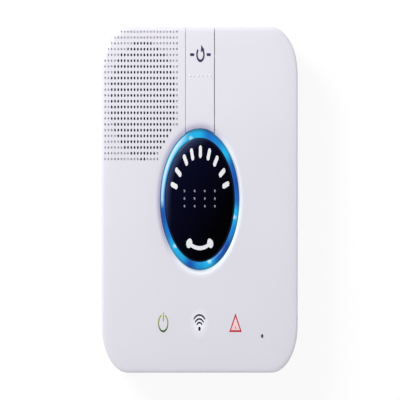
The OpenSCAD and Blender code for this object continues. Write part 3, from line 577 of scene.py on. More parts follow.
pick("verts", lambda at, out: at.z > face and at.x < 15.3 * mm)
bpy.ops.mesh.bevel(offset=0.8 * mm, segments=5, affect="VERTICES")
bpy.ops.mesh.select_all(action="SELECT")
bpy.ops.mesh.delete(type="ONLY_FACE")
bpy.ops.mesh.select_all(action="SELECT")
bpy.ops.mesh.spin(steps=128, angle=math.radians(360), center=(0, 0, 0), axis=(0, 0, 1))
bpy.ops.mesh.select_all(action="SELECT")
bpy.ops.mesh.remove_doubles(threshold=0.001 * mm)
bpy.ops.transform.resize(value=(1, ring_long / ring_wide, 1), center_override=(0, 0, 0))
bpy.ops.mesh.normals_make_consistent(inside=False)
pick("faces", lambda at, out: at.z < 30.3 * mm and out.z > -0.5
     and math.hypot(at.x, at.y / squeeze) > 17.2 * mm)
bpy.ops.transform.resize(value=(foot_wide / ring_wide, foot_long / ring_long, 1), center_override=(0, 0, 0))
bpy.ops.object.mode_set(mode="OBJECT")


def turned(angle):
    """An angle from -180 to 180 degrees as a place on a ramp."""
    return angle / 360 + 0.5


def ring_light_group():
    """Colours of the lit ring round its oval, from Object coordinates, with a painted highlight streak at its
    upper left, a painted pale rim at its lower right and painted shade at its outer edge.
    """
    tree, kept = new_group("ring_light", "Color", "Colour")
    even, out = on_oval(tree, *ring_half)
    turn = wire(tree, "TexGradient", {"Vector": even}, gradient_type="RADIAL").outputs["Fac"]
    deep, royal = Vector((0.010, 0.072, 0.37)), Vector((0.012, 0.19, 0.60))
    pale = Vector((0.016, 0.455, 0.80))
    levels = [(-180, 0.35), (-165, 0.10), (-150, 0.50), (-134, 1.00), (-120, 0.85), (-105, 0.10),
              (-90, 0.70), (-76, 1.00), (-60, 0.20), (-45, 0.00), (-30, 0.55), (-12, 1.00), (0, 0.25),
              (15, 0.05), (30, 0.20), (46, 1.00), (60, 0.60), (76, 0.45), (92, 1.00), (127, 1.00),
              (158, 0.75), (180, 0.35)]
    ramp = wire(tree, "ValToRGB", {"Fac": turn})
    ramp.color_ramp.interpolation = "EASE"
    points = ramp.color_ramp.elements
    for number, (angle, level) in enumerate(levels):
        if 0 < number < len(levels) - 1:
            point = points.new(turned(angle))
        else:
            point = points[-1 if number else 0]
        colour = deep.lerp(royal, 2 * level) if level < 0.5 else royal.lerp(pale, 2 * level - 1)
        point.color = (*colour, 1)

    # A painted white highlight streak along the upper-left outer part of the bead.
    painted_streak = wire(tree, "ValToRGB", {"Fac": turn})
    points = painted_streak.color_ramp.elements
    points[0].color = (0.75, 0.75, 0.75, 1)
    points[1].position, points[1].color = 0.02, (0, 0, 0, 1)
    for place, level in ((turned(108), 0.0), (turned(122), 0.75), (turned(150), 1.0), (0.999, 0.75)):
        points.new(place).color = (level, level, level, 1)
    band = sums(tree, "MULTIPLY", ramped(tree, out, 0.885, 0.93), ramped(tree, out, 0.95, 0.985, 1.0, 0.0))
    white = sums(tree, "MULTIPLY", band, painted_streak.outputs["Color"])
    for x, y in ((-3.9, 26.9), (15.1, -7.5), (-10.75, -20.0), (4.3, -26.8)):
        away = vectors(tree, "DISTANCE", at_object(tree), (x * mm, y * mm, 31.2 * mm)).outputs["Value"]
        white = sums(tree, "MAXIMUM", white, ramped(tree, away, 0.35 * mm, 1.5 * mm, 0.85, 0.0, soft=True))
    # A painted pale rim along the bead's lower-right outer edge.
    side = vectors(tree, "DOT_PRODUCT", even, light_way).outputs["Value"]
    painted_rim_highlight = sums(tree, "MULTIPLY", ramped(tree, side, -0.4, 0.2), ramped(tree, out, 0.982, 0.996, 0.0, 0.8))
    # The bead's colour is painted darker towards its outer edge, as painted shade.
    body = vectors(tree, "SCALE", ramp.outputs[0])
    fed(tree, body.inputs, Scale=ramped(tree, out, 0.945, 0.985, 1.0, 0.42))
    white = sums(tree, "MAXIMUM", white, painted_rim_highlight)
    fed(tree, kept, Colour=blend(tree, white, body.outputs[0], (0.62, 0.90, 1.0, 1)))
    return tree


ring_finish, tree, inputs = new_finish("lit_blue_guide", Roughness=0.16, IOR=1.40, Emission_Strength=0.66,
                                       Specular_IOR_Level=0.3)
glow = group_node(tree, ring_light_group())[0]
unlit = vectors(tree, "SCALE", glow)
unlit.inputs["Scale"].default_value = 0.38
fed(tree, inputs, Base_Color=unlit.outputs[0], Emission_Color=glow)
fitted(light_ring, ring_finish, "housing", "ring_blue", "light_ring", angle=50)

# ---- Emergency button's cap ----
# A polished near-black cap with a low crown, moulded in one with its skirt and a flange under the
# ring. Its colour is painted lighter and bluer towards the upper left, where the lamp stands, and a
# painted sheen follows its upper-left edge.
cap_r, cap_top, crown_r, crown_rise = 14.95, 31.125, 14.43, 0.665
cap_stretch = 53.8 / 29.9
skirt_z, skirt_high = 28.05, 5.3
bpy.ops.mesh.primitive_cylinder_add(vertices=128, radius=cap_r * mm, depth=skirt_high * mm,
                                    location=(0, 0, skirt_z * mm))
cap = bpy.context.object
cap.name = "button_cap"
bpy.ops.object.transform_apply()
bpy.ops.object.mode_set(mode="EDIT")
pick("faces", lambda at, out: out.z > 0.9)
was_r, was_z = cap_r, 30.7
for across, up in ((0.06, 0.17), (0.10, 0.13), (0.14, 0.08), (0.22, 0.045)):
    rate = 1 - across / cap_r
    rise(up * mm, rate, rate)
    was_r, was_z = was_r * rate, was_z + up
for r in (13.4, 12.0, 10.4, 8.6, 6.6, 4.4, 2.2, 0.4):
    z = cap_top + crown_rise * (1 - (r / crown_r) ** 2)
    rise((z - was_z) * mm, r / was_r, r / was_r)
    was_r, was_z = r, z
pick("faces", lambda at, out: out.z < -0.9)
bpy.ops.mesh.inset(thickness=1.4 * mm)
rise(4.0 * mm)
bpy.ops.mesh.select_all(action="SELECT")
bpy.ops.transform.resize(value=(1, cap_stretch, 1), center_override=(0, 0, 0))
bpy.ops.object.mode_set(mode="OBJECT")
flange = rod((0, 0), 31.8, 55.7, 25.4, 26.9, 128)
shaped_by(flange, rod((0, 0), 27.1, 51.0, 25, 27.5, 128))
shaped_by(cap, flange, way="UNION")

cap_finish, tree, inputs = new_finish("polished_navy", Roughness=0.12, IOR=1.5, Specular_IOR_Level=0.3)
place = wire(tree, "SeparateXYZ", {0: at_object(tree)}).outputs
# The navy is painted lighter and bluer towards the upper left, where the lamp stands, as painted light.
slant = sums(tree, "SUBTRACT", sums(tree, "DIVIDE", place["Y"], 27 * mm),
             sums(tree, "DIVIDE", place["X"], 15 * mm))
painted_light_navy = tinted(tree, (0.0035, 0.0035, 0.020), ramped(tree, slant, -0.9, 1.5, 0.05, 1.0))
even, out = on_oval(tree, cap_r, cap_r * cap_stretch)
# A painted sheen along the cap's upper-left edge: a painted reflection in the base colour.
upper_left = vectors(tree, "DOT_PRODUCT", even, (-0.78, 0.63, 0)).outputs["Value"]
painted_sheen = sums(tree, "MULTIPLY", ramped(tree, out, 0.82, 0.99), ramped(tree, upper_left, 0.35, 0.98, soft=True))
wiped = ramped(tree, noise(tree, at_object(tree), 90.0, 4.0), 0.0, 1.0, 0.08, 0.17)
fed(tree, inputs, Base_Color=blend(tree, painted_sheen, painted_light_navy, (0.045, 0.060, 0.14, 1)), Roughness=wiped)
fitted(cap, cap_finish, "button", "cap_navy", "emergency_button", angle=40)


# ---- Raised dots on the cap ----
# A plain grid of small domes, moulded on the crown as a guide for the finger. Their pale grey is a
# painted glint, unevenly mottled, and they are duller than the polished cap round them.
def crown(x, y):
    """Height of the cap's crown in mm at a place in mm."""
    return cap_top + crown_rise * (1 - (x / crown_r) ** 2 - (y / (crown_r * cap_stretch)) ** 2)


def domes(name, radius, squash, segments, places):
    """Small domes, drawn tall as the case is, that stand at places in mm with a closed foot below them."""
    bpy.ops.mesh.primitive_uv_sphere_add(segments=segments, ring_count=8, radius=radius * mm,
                                         location=(0, 0, 0))
    dot = bpy.context.object
    bpy.ops.object.mode_set(mode="EDIT")
    bpy.ops.mesh.select_all(action="SELECT")
    bpy.ops.mesh.bisect(plane_co=(0, 0, -0.05 * mm), plane_no=(0, 0, 1), clear_inner=True, use_fill=True,
                        threshold=1e-7)
    bpy.ops.mesh.select_all(action="SELECT")
    bpy.ops.transform.resize(value=(1, 1.6, squash), center_override=(0, 0, 0))
    bpy.ops.object.mode_set(mode="OBJECT")
    dots = []
    for x, y, z in places:
        dots.append(copy_of(dot, "dot"))
        bpy.ops.transform.translate(value=(x * mm, y * mm, z * mm))
    bpy.data.objects.remove(dot)
    made = joined(*dots)
    made.name = name
    bpy.ops.object.transform_apply()
    return made


cap_dots = domes("button_cap_dots", 0.36, 0.5, 16,
                 [(x, y, crown(x, y)) for y in (3.85, 0.56, -2.73) for x in (-6.6, -2.2, 2.2, 6.6)])
# The dots' pale grey is a painted glint, unevenly mottled.
dot_painted_glint, tree, inputs = new_finish("navy_dots_painted_glint", Roughness=0.25, IOR=1.5)
painted_glint_mottle = noise(tree, at_object(tree), 500.0)
fed(tree, inputs, Base_Color=tinted(tree, (0.34, 0.35, 0.42), painted_glint_mottle, 0.6))
fitted(cap_dots, dot_painted_glint, "button", "cap_navy")


# ---- Prints on the cap and the face ----
# White, navy, black, green, red and grey inks, printed thinly on the moulded plastic: nine rays and a
# handset on the cap, a turning arrow on the key, and three signs over the lit windows.
def arc(x, y, r, start, end, n=24):
    """Points of an arc round a place, from one angle to another."""
    return [(x + r * math.cos(math.radians(start + (end - start) * i / n)),
             y + r * math.sin(math.radians(start + (end - start) * i / n))) for i in range(n + 1)]


def bar(x, y, w, h, turn=0.0, n=6):
    """A bar with round ends, upright and then turned."""
    ends = arc(0, h / 2 - w / 2, w / 2, 0, 180, n) + arc(0, w / 2 - h / 2, w / 2, 180, 360, n)
    c, s = math.cos(math.radians(turn)), math.sin(math.radians(turn))
    return [(x + px * c - py * s, y + px * s + py * c) for px, py in ends]


def meshed(line):
    """A curve as a closed mesh."""
    made = bpy.data.objects.new(line.name, line)
    bpy.context.collection.objects.link(made)
    alone(made)
    bpy.ops.object.convert(target="MESH")
    bpy.ops.object.mode_set(mode="EDIT")
    bpy.ops.mesh.select_all(action="SELECT")
    bpy.ops.mesh.remove_doubles(threshold=0.0005 * mm)
    bpy.ops.mesh.normals_make_consistent(inside=False)
    bpy.ops.object.mode_set(mode="OBJECT")
    return bpy.context.object


def printed(name, loops, centre, low, thick=0.03):
    """Flat closed outlines, drawn tall as the case is, as a thin film of ink."""
    line = bpy.data.curves.new(name, "CURVE")
    line.dimensions, line.fill_mode, line.extrude = "2D", "BOTH", thick / 2 * mm
    for loop in loops:
        spline = line.splines.new("POLY")
        spline.points.add(len(loop) - 1)
        spline.use_cyclic_u = True
        for point, (x, y) in zip(spline.points, loop):
            point.co = ((centre[0] + x) * mm, (centre[1] + y * squeeze) * mm, 0, 1)
    made = meshed(line)
    bpy.ops.transform.translate(value=(0, 0, (low + thick / 2) * mm))
    bpy.ops.object.transform_apply()
    return made


def ink(name, colour, **constants):
    """Printed ink with a slightly uneven film."""
    made, tree, inputs = new_finish(name, Roughness=0.4, **constants)
    film = noise(tree, at_object(tree), 1500.0, 3.0)
    fed(tree, inputs, Base_Color=tinted(tree, colour, ramped(tree, film, 0.0, 1.0, 0.9, 1.0)))
    return made


def on_crown(piece):
    """Lays a flat print on the cap's crown."""
    alone(piece)
    bpy.ops.object.mode_set(mode="EDIT")
    mesh = bmesh.from_edit_mesh(piece.data)
    for v in mesh.verts:
        v.co.z += (crown(v.co.x / mm, v.co.y / mm) + 0.02) * mm
    bmesh.update_edit_mesh(piece.data)
    bpy.ops.object.mode_set(mode="OBJECT")
    return piece


white_ink = ink("white_ink", (0.93, 0.93, 0.95))
middle_right, middle_down = 199.75, 199.9
ray_pixels = [(174.2, 185.6), (178.3, 172.2), (185.4, 160), (192.1, 154.4), (200.4, 151.7), (208.8, 154.4),
              (215.8, 161.1), (222.1, 172.8), (225.8, 185)]
rays = []
for right, down in ray_pixels:
    x, y = (right - middle_right) * pixel / mm, (middle_down - down) * pixel / mm / squeeze
    rays.append(bar(x, y, 1.3, 3.1, math.degrees(math.atan2(y, x)) - 90, 10))
fitted(on_crown(printed("button_rays", rays, (0, 0), 0)), white_ink, "button", "cap_navy")

grip_r, grip_low = 9.6, -20.9 / squeeze
grip_y = grip_low + grip_r
grip = arc(0, grip_y, grip_r + 0.5, -116, -64, 20) + arc(0, grip_y, grip_r - 0.5, -64, -116, 20)
cups = [bar(x, -10.6, 2.1, 2.7, turn, 10) for x, turn in ((-4.55, -62), (4.55, 62))]
handset = shaped_by(printed("button_handset", [grip], (0, 0), 0),
                    *(printed("cup", [cup], (0, 0), 0) for cup in cups), way="UNION")
fitted(on_crown(handset), white_ink, "button", "cap_navy")

power = [arc(0, -0.25, 2.24, 112, 428, 36) + arc(0, -0.25, 1.78, 428, 112, 36), bar(0.1, 1.3, 0.46, 2.2)]
green_ink, tree, inputs = new_finish("green_ink", Roughness=0.4)
up = ramped(tree, wire(tree, "SeparateXYZ", {0: at_object(tree)}).outputs["Y"], -57.3 * mm, -48.5 * mm)
shades = wire(tree, "ValToRGB", {"Fac": up})
shades.color_ramp.elements[0].color = (0.010, 0.105, 0.015, 1)
shades.color_ramp.elements[1].color = (0.50, 0.58, 0.06, 1)
fed(tree, inputs, Base_Color=shades.outputs[0])
fitted(printed("power_sign", power, (-15.85, -53.0), 30.405), green_ink, "housing", "case_white")

signal = [arc(0, 0, 0.54, 0, 345, 23)]
for r, spread in ((1.52, 50), (2.42, 50), (3.38, 46)):
    right, left = 90 - spread, 90 + spread
    signal.append(arc(0, 0, r + 0.22, right, left) + arc(0, 0, r - 0.22, left, right))
black_ink = ink("black_ink", (0.012, 0.012, 0.016))
fitted(printed("signal_sign", signal, (-0.15, -55.9), 30.405), black_ink, "housing", "case_white")

warning_at = (15.5, sign_y)
outline = [(-2.7, -2.30), (2.7, -2.30), (0, 2.28)]
hollow = [(-1.98, -1.86), (1.98, -1.86), (0, 1.38)]
red_ink = ink("red_ink", (0.60, 0.010, 0.028))
# The warning field's pale ink carries a faint painted glow of the lit window below it.
pale_ink_painted_glow = ink("pale_ink_painted_glow", (0.95, 0.64, 0.66), Emission_Strength=0.08, Emission_Color=(1, 0.72, 0.70, 1))
bright_ink = ink("bright_ink", (0.95, 0.92, 0.92))
grey_ink = ink("grey_ink", (0.30, 0.27, 0.28))
for name, loops, low, thick, paint in (("warning_sign", [outline, hollow[::-1]], 30.405, 0.03, red_ink),
                                       ("warning_field", [hollow], 30.402, 0.02, pale_ink_painted_glow),
                                       ("warning_bar", [bar(0, 0.0, 0.42, 1.5)], 30.42, 0.03, bright_ink),
                                       ("warning_dot", [bar(0, -1.25, 0.44, 0.46)], 30.42, 0.03, grey_ink)):
    fitted(printed(name, loops, warning_at, low, thick), paint, "housing", "case_white")

turning = arc(0, 0, 1.85, 60, -230, 30) + arc(0, 0, 1.2, -230, 60, 30)
head = [(0.35, 2.35), (1.75, 1.25), (0.15, 0.6)]
navy_ink = ink("navy_ink", (0.035, 0.035, 0.10))
flanks = [bar(x, 0, 0.7, 1.9, 90) for x in (-3.6, 3.6)]
fitted(printed("reset_sign", [turning, *flanks], (0.3, 63.0), 30.405), navy_ink, "reset", "key_white")
fitted(printed("reset_sign_head", [head], (0.3, 63.0), 30.412), navy_ink, "reset", "key_white")


# ---- Raised dots on the key ----
# A plain row of small domes, moulded in the key's own pale ABS, to be felt under the sign. They stand
# a little taller than those on the cap.
key_dots = domes("reset_key_dots", 0.40, 0.8, 14, [(i * 1.75 - 4.1, 53.9, 30.4) for i in range(6)])
fitted(key_dots, bulk_finish, "reset", "key_white")


# ---- Rear cover ----
# The lower half of the case, moulded in the same ABS with softly rounded edges. A tongue runs round
# its rim inside the front cover, and a groove under the rim makes the shadow line between them.
floor, floor_top = 1.5, 3.0
cut_from = 0.5
keyholes_x, entry_y, slot_end_y = (-24, 24), 36, 44
door_screw_at, tabs_x = (0, -1.6), (-14.1, 14.1)
jack_at = (24, 15.3)
rear_cover = rounded_block(4.9 * mm, 20.5 * mm)
rear_cover.name = "rear_cover_shell"
pick("faces", lambda at, out: out.z < -0.9)
edge = [(2.6 * mm * (1 - math.sin(a)), 3.6 * mm * (1 - math.sin(a)), (floor + 3.4 * (1 - math.cos(a))) * mm)
        for a in (math.radians(d) for d in (75, 60, 45, 30, 15, 0))]
drawn_in(edge, (0, 0, 4.9 * mm))
pick("faces", lambda at, out: out.z > 0.9)
for in_by, up in ((0.5, 0.5), (0.8, 1.6), (1.1, -19.1)):
    bpy.ops.mesh.inset(thickness=in_by * mm)
    rise(up * mm)
bpy.ops.object.mode_set(mode="OBJECT")

bosses = [rod(at, 8.2, 8.2, floor_top, 21.0, 40) for at in upper_screws + lower_screws]
battery_box = block((-23.6, -62.0, floor_top), (23.6, -3.8, 19.9))
bosses += [rod(door_screw_at, 6, 6, floor_top, 10.1, 32), battery_box]
bosses += [block((x - 6.8, 29.2, floor_top), (x + 6.8, 49.2, 8.3)) for x in keyholes_x]
for boss in bosses:
    shaped_by(rear_cover, boss, way="UNION")


def softened(piece, by, segments=2):
    """A block with all its edges rounded."""
    return eased(piece, by, segments, lambda at, way: True)


battery_bay = block((-22.1, -60.5, cut_from), (22.1, -5.3, 18.4))
ear_recess = block((-4.7, -6.3, cut_from), (4.7, 3.1, 3.5))
lead_notch = block((-16.3, -6.5, 9.45), (-13.5, -2.8, 12.25))
tools = [battery_bay, ear_recess, lead_notch, rod(door_screw_at, 2.6, 2.6, 2.5, 8.5, 24)]
tools += [block((x - 3.2, -61.9, 3.5), (x + 3.2, -59.5, 4.7)) for x in tabs_x]
for x in keyholes_x:
    tools += [block((x - 5.6, 30.4, 3.5), (x + 5.6, 48.0, 7.1)), rod((x, entry_y), 8, 8, cut_from, 3.6, 40),
              rod((x, slot_end_y), 4, 4, cut_from, 3.6, 32),
              block((x - 2, entry_y, cut_from), (x + 2, slot_end_y, 3.6))]
feet_at = [(s * 33, y) for s in (-1, 1) for y in (62, -50)]
tools += [rod(at, 10.2, 10.2, cut_from, 2.5, 48) for at in feet_at]
for at in upper_screws + lower_screws:
    tools += [rod(at, 5.8, 5.8, cut_from, 17.0, 36), rod(at, 2.9, 2.9, floor, 22, 24)]
knob_slot = block((39.1, 17.2, 17.7), (45.9, 22.8, 20.1))
finger_dip = softened(block((41.6, 14, 15.9), (44.5, 26, 20.1)), 0.7, 3)
tools += [lying("Y", jack_at, 8.4, 71.5, 76.5), knob_slot, finger_dip]
for tool in tools:
    shaped_by(rear_cover, tool)
fitted(rear_cover, bulk_finish, "housing", "case_white", "rear_cover")

# ---- Battery door ----
# A flat ABS lid under the battery bay. Two tabs hook it in at the lower end and one screw holds its
# ear, and five low ribs give the thumb a hold.
door = block((-21.9, -60.3, floor), (21.9, -5.5, 3.5))
door.name = "battery_door_lid"
ear = block((-4.5, -7, floor), (4.5, 2.9, 3.5))
shaped_by(door, ear, way="UNION")
eased(door, 0.35, 3, lambda at, way: abs(way.z) > 0.9 and abs(at.x) > 4.0 * mm)
eased(door, 0.25, 2, lambda at, way: at.z < (floor + 0.1) * mm)
extras = [softened(block((-8 + i, -54.0 + 2.4 * i, 1.05), (8 - i, -53.0 + 2.4 * i, 1.9)), 0.25)
          for i in range(5)]
for low, out_y in ((3.55, -61.7), (3.2, -60.3)):
    extras += [block((x - 3, out_y, low), (x + 3, -59.3, 4.5)) for x in tabs_x]
for extra in extras:
    shaped_by(door, extra, way="UNION")
shaped_by(door, rod(door_screw_at, 5.0, 5.0, cut_from, 2.7, 40), rod(door_screw_at, 2.7, 2.7, floor, 5, 24))
fitted(door, bulk_finish, "housing", "case_white", "battery_door")

# ---- Rubber feet ----
# Four discs of matt black rubber with a shallow dished sole. Each is pressed into a round recess in
# the rear cover.
feet = []
for at in feet_at:
    foot = rod(at, 10, 10, 0, 2.5, 56)
    bpy.ops.object.mode_set(mode="EDIT")
    pick("faces", lambda at, out: out.z < -0.9)
    bpy.ops.mesh.bevel(offset=0.45 * mm, segments=3, affect="EDGES")
    pick("faces", lambda at, out: out.z < -0.999)
    bpy.ops.mesh.inset(thickness=1.3 * mm)
    bpy.ops.mesh.inset(thickness=0.3 * mm)
    bpy.ops.transform.translate(value=(0, 0, 0.25 * mm))
    bpy.ops.object.mode_set(mode="OBJECT")
    feet.append(foot)
feet = joined(*feet)
feet.name = "rubber_foot_set"
rubber = moulded("matt_rubber", (0.030, 0.030, 0.033), 1700, 0.03, Specular_IOR_Level=0.25)[0]
fitted(feet, rubber, "housing", "rubber", "rubber_feet")


# ---- Screws and pins ----
# Zinc-plated steel, turned and rolled: four through the case, one in the door, four under the
# button's tray, four in the board, and the key's hinge pin.
def dressed(finish, *nodes):
    """Gives the frame's own pieces a finish."""
    for name in nodes:
        piece = cad[name]
        if not piece.material_slots:
            piece.data.materials.append(finish)
        for spot in piece.material_slots:
            spot.material = finish


def brushed_group():
    """Fine drawn lines and a soft cloud, as a tint, a roughness and a height."""
    tree, kept = new_group("drawn_metal", "Float", "Tint", "Roughness", "Height")
    place = at_object(tree)
    drawn = wire(tree, "Mapping", {"Vector": place, "Scale": (1600, 7000, 1600)}).outputs[0]
    lines, cloud = noise(tree, drawn, 1.0, 3.0), noise(tree, place, 260.0)
    fed(tree, kept, Tint=ramped(tree, cloud, 0.3, 0.7, 0.94, 1.0),
        Roughness=ramped(tree, lines, 0.3, 0.7, 0.26, 0.34), Height=lines)
    return tree


drawn_metal = brushed_group()


def metal(name, colour, depth=0.002):
    """A bare metal with drawn lines."""
    made, tree, inputs = new_finish(name, Metallic=1.0)
    grain = group_node(tree, drawn_metal)
    fed(tree, inputs, Base_Color=tinted(tree, colour, grain["Tint"], 0.3), Roughness=grain["Roughness"])
    relief(tree, inputs, grain["Height"], 0.3, depth)
    return made


zinc = metal("zinc_plate", (0.62, 0.63, 0.66))
dressed(zinc, "case_screws", "door_screw", "housing_screws", "pcb_screws", "reset_pin")

# ---- Button carrier, tray and switches ----
# The cap snaps on a white carrier with two guide posts, which slide in the tubes of a white tray.
# Black push switches with ivory nylon stems stand on the board under the button and the key.
inner_white = moulded("natural_abs", (0.84, 0.84, 0.81), 1800, 0.02)[0]
black_nylon = moulded("black_nylon", (0.025, 0.025, 0.028), 2400, 0.01)[0]
ivory_nylon = moulded("ivory_nylon", (0.80, 0.74, 0.56), 2200, 0.01)[0]
dressed(inner_white, "button_carrier", "button_housing")
dressed(black_nylon, "button_switch", "reset_switch")
dressed(ivory_nylon, "button_switch_stem", "reset_switch_stem", "speaker_socket", "battery_socket")


# ---- Springs ----
# Coils of spring steel wire: two round the button's guide tubes and one under the key. They are
# wound with closed ends.
def coil(name, at, r, low, high, turns, wire_r, steps=20):
    """A wound spring with a closed turn at each end."""
    line = bpy.data.curves.new(name, "CURVE")
    line.dimensions, line.bevel_depth, line.bevel_resolution, line.use_fill_caps = "3D", wire_r * mm, 2, True
    spline = line.splines.new("POLY")
    count = int(turns * steps)
    spline.points.add(count)
    closed_pitch, closed_turns = 2.05 * wire_r, 0.8
    for i, point in enumerate(spline.points):
        t = i / count * turns
        up = min(max((t - closed_turns) / (turns - 2 * closed_turns), 0), 1)
        end = closed_pitch * (min(t, 1) + max(t - turns + 1, 0)) / 2
        z = low + wire_r + up * (high - low - 2 * wire_r - closed_pitch) + end
        x, y = at[0] + r * math.cos(2 * math.pi * t), at[1] + r * math.sin(2 * math.pi * t)
        point.co = (x * mm, y * mm, z * mm, 1)
    return meshed(line)


spring_steel = metal("spring_steel", (0.55, 0.56, 0.58))
pair = joined(*(coil("button_coils", (0, y), 3.3, 24.1, 27.4, 4.5, 0.25) for y in (-17, 17)))
fitted(pair, spring_steel, "housing", "steel", "button_springs", angle=60)
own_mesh(pair)
key_coil = coil("reset_coil", (0, 47), 2.0, 22.4, 28.4, 6.5, 0.25)
fitted(key_coil, spring_steel, "housing", "steel", "reset_spring", angle=60)
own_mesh(key_coil)


# ---- Circuit board ----
# A glass-fibre laminate under green solder mask. Runs of copper tracks show through it, with small
# pads between them. The radio board and the antenna are made the same way.
def mask_finish(name, mask, copper, size):
    """Solder mask over square fields of tracks that run along X or Y, and round pads."""
    made, tree, inputs = new_finish(name, Roughness=0.32, Coat_Weight=0.2)
    cut = wire(tree, "SeparateXYZ", {0: at_object(tree)}).outputs
    flat = wire(tree, "CombineXYZ", {"X": cut["X"], "Y": cut["Y"]}).outputs[0]
    fields = wire(tree, "TexVoronoi", {"Vector": flat, "Scale": size, "Randomness": 0.55},
                  voronoi_dimensions="2D", distance="CHEBYCHEV")
    chance = wire(tree, "SeparateColor", {0: fields.outputs["Color"]}).outputs
    along_x, filled = (sums(tree, "GREATER_THAN", chance[i], least) for i, least in enumerate((0.5, 0.4)))
    across = wire(tree, "Mix", {0: along_x, 2: cut["X"], 3: cut["Y"]}, data_type="FLOAT").outputs[0]
    step = sums(tree, "FRACT", sums(tree, "MULTIPLY", across, size * 8))
    track = sums(tree, "MULTIPLY", sums(tree, "LESS_THAN", step, 0.36), filled)
    spots = wire(tree, "TexVoronoi", {"Vector": flat, "Scale": size * 2.2, "Randomness": 0.8},
                 voronoi_dimensions="2D").outputs["Distance"]
    pads = ramped(tree, spots, 0.12, 0.15, 1.0, 0.0)
    amount = sums(tree, "MAXIMUM", sums(tree, "MULTIPLY", track, 0.4), pads)
    fed(tree, inputs, Base_Color=blend(tree, amount, (*mask, 1), (*copper, 1)))
    relief(tree, inputs, amount, 0.4, 0.03)
    return made


dressed(mask_finish("green_mask", (0.010, 0.12, 0.045), (0.09, 0.30, 0.12), 140), "main_pcb")
dressed(mask_finish("blue_mask", (0.012, 0.05, 0.24), (0.10, 0.20, 0.45), 420), "radio_module")
dressed(mask_finish("antenna_film", (0.22, 0.10, 0.025), (0.62, 0.30, 0.12), 90), "cell_antenna")

# ---- Lamps and light pipe ----
# White surface lamps stand under the ring and under the three signs. A clear polycarbonate pipe with
# three columns carries the light of the latter up to the face.
lamp_white, tree, inputs = moulded("lamp_body", (0.88, 0.88, 0.80), 3000, 0.01, Emission_Strength=0.5)
fed(tree, inputs, Emission_Color=inputs["Base Color"].links[0].from_socket)
dressed(lamp_white, "ring_leds", "indicator_leds")
clear_pipe, tree, inputs = new_finish("clear_pipe", IOR=1.58, Transmission_Weight=0.9)
swirl = noise(tree, at_object(tree), 240.0)
fed(tree, inputs, Roughness=ramped(tree, swirl, 0.0, 1.0, 0.04, 0.12),
    Base_Color=tinted(tree, (0.93, 0.97, 1.0), swirl, 0.95))
dressed(clear_pipe, "indicator_light_pipe")

# ---- Modules and microphone ----
# Tinned steel cans cover the cellular module, the processor and the power switch. The microphone is
# a nickel capsule held in a soft rubber boot.
tin = metal("tinned_steel", (0.70, 0.70, 0.69))
dressed(tin, "cell_module", "processor_shield", "power_switch")
dressed(metal("nickel", (0.66, 0.62, 0.54)), "microphone")
dressed(rubber, "microphone_boot")

# ---- Speaker ----
# An oval speaker behind the field of holes: a black foam gasket, a painted steel basket, a pressed
# paper cone and a ferrite magnet.
foam = moulded("closed_foam", (0.014, 0.014, 0.016), 1300, 0.12, Specular_IOR_Level=0.1)[0]
dressed(foam, "speaker_gasket")
painted = moulded("basket_paint", (0.035, 0.035, 0.040), 1500, 0.02)[0]
dressed(painted, "speaker_frame")
ferrite = moulded("ferrite", (0.055, 0.055, 0.060), 900, 0.04, Metallic=0.4)[0]
dressed(ferrite, "speaker_magnet")
paper, tree, inputs = new_finish("pressed_paper", Roughness=0.9, Specular_IOR_Level=0.1)
fibres = noise(tree, at_object(tree), 1800.0, 5.0, Distortion=1.5)
fed(tree, inputs, Base_Color=tinted(tree, (0.020, 0.020, 0.022), fibres, 0.3))
relief(tree, inputs, fibres, 0.6, 0.05)
dressed(paper, "speaker_cone")


# ---- Leads ----
# Red leads with PVC insulation run to the speaker and the battery, and a thin black coaxial lead runs
# to the antenna.
def sleeve(name, colour):
    """Extruded insulation, slightly soiled."""
    made, tree, inputs = new_finish(name, Roughness=0.42)
    soil = noise(tree, at_object(tree), 700.0, 3.0)
    fed(tree, inputs, Base_Color=tinted(tree, colour, soil, 0.6))
    relief(tree, inputs, soil, 0.2, 0.03)
    return made


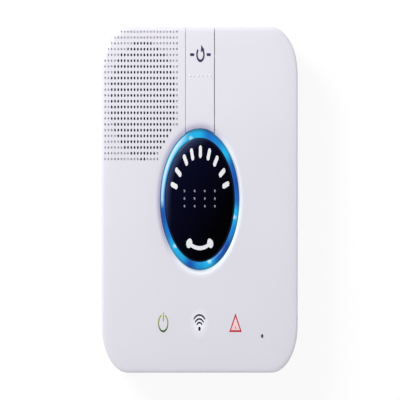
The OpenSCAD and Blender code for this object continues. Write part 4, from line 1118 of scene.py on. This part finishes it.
dressed(sleeve("red_pvc", (0.45, 0.02, 0.02)), "speaker_lead", "battery_lead")
dressed(sleeve("black_pvc", (0.02, 0.02, 0.022)), "antenna_cable")

# ---- Battery ----
# Three cells side by side in a blue shrink wrap. Heat has drawn it tight over them, with soft folds
# along their length.
wrap, tree, inputs = new_finish("shrink_wrap", Roughness=0.28, Coat_Weight=0.4, Coat_Roughness=0.12)
pulled = wire(tree, "Mapping", {"Vector": at_object(tree), "Scale": (240, 60, 240)}).outputs[0]
folds = noise(tree, pulled, 1.0, 3.0)
fed(tree, inputs, Base_Color=tinted(tree, (0.02, 0.07, 0.30), folds, 0.6))
relief(tree, inputs, folds, 0.5, 0.15)
dressed(wrap, "battery_pack")

# ---- Power jack ----
# A black nylon barrel jack on the board. Its nose stands in the case's end wall, and a nickel pin
# stands in its bore.
nose_end, bore_start, pin_end = 74.4, 64.9, 72.4
jack = softened(block((19.5, 59.5, 9.8), (28.5, 72.5, 20.8)), 0.35)
jack.name = "power_jack_body"
shaped_by(jack, lying("Y", jack_at, 8, 71.5, nose_end), way="UNION")
shaped_by(jack, lying("Y", jack_at, 6, bore_start, 75))
eased(jack, 0.3, 3, lambda at, way: at.y > (nose_end - 0.1) * mm)
fitted(jack, black_nylon, "housing", "black_plastic", "power_jack")
pin = lying("Y", jack_at, 2, bore_start - 2, pin_end, 28)
pin.name = "power_jack_pin"
eased(pin, 0.45, 3, lambda at, way: at.y > (pin_end - 0.1) * mm)
fitted(pin, metal("nickel_pin", (0.72, 0.70, 0.64)), "housing", "steel")

# ---- Power switch's knob ----
# A slider of black nylon that is pushed with a fingertip. Three grooves across its end give the
# finger a hold.
knob = softened(block((34.9, 17.5, 18.0), (42.1, 20.5, 19.8)), 0.2)
knob.name = "power_knob"
for y in (18.1, 18.85, 19.6):
    shaped_by(knob, block((41.75, y, 17.9), (42.3, y + 0.35, 19.9)))
fitted(knob, black_nylon, "knob", "black_plastic", "power_switch_knob")

low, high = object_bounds()
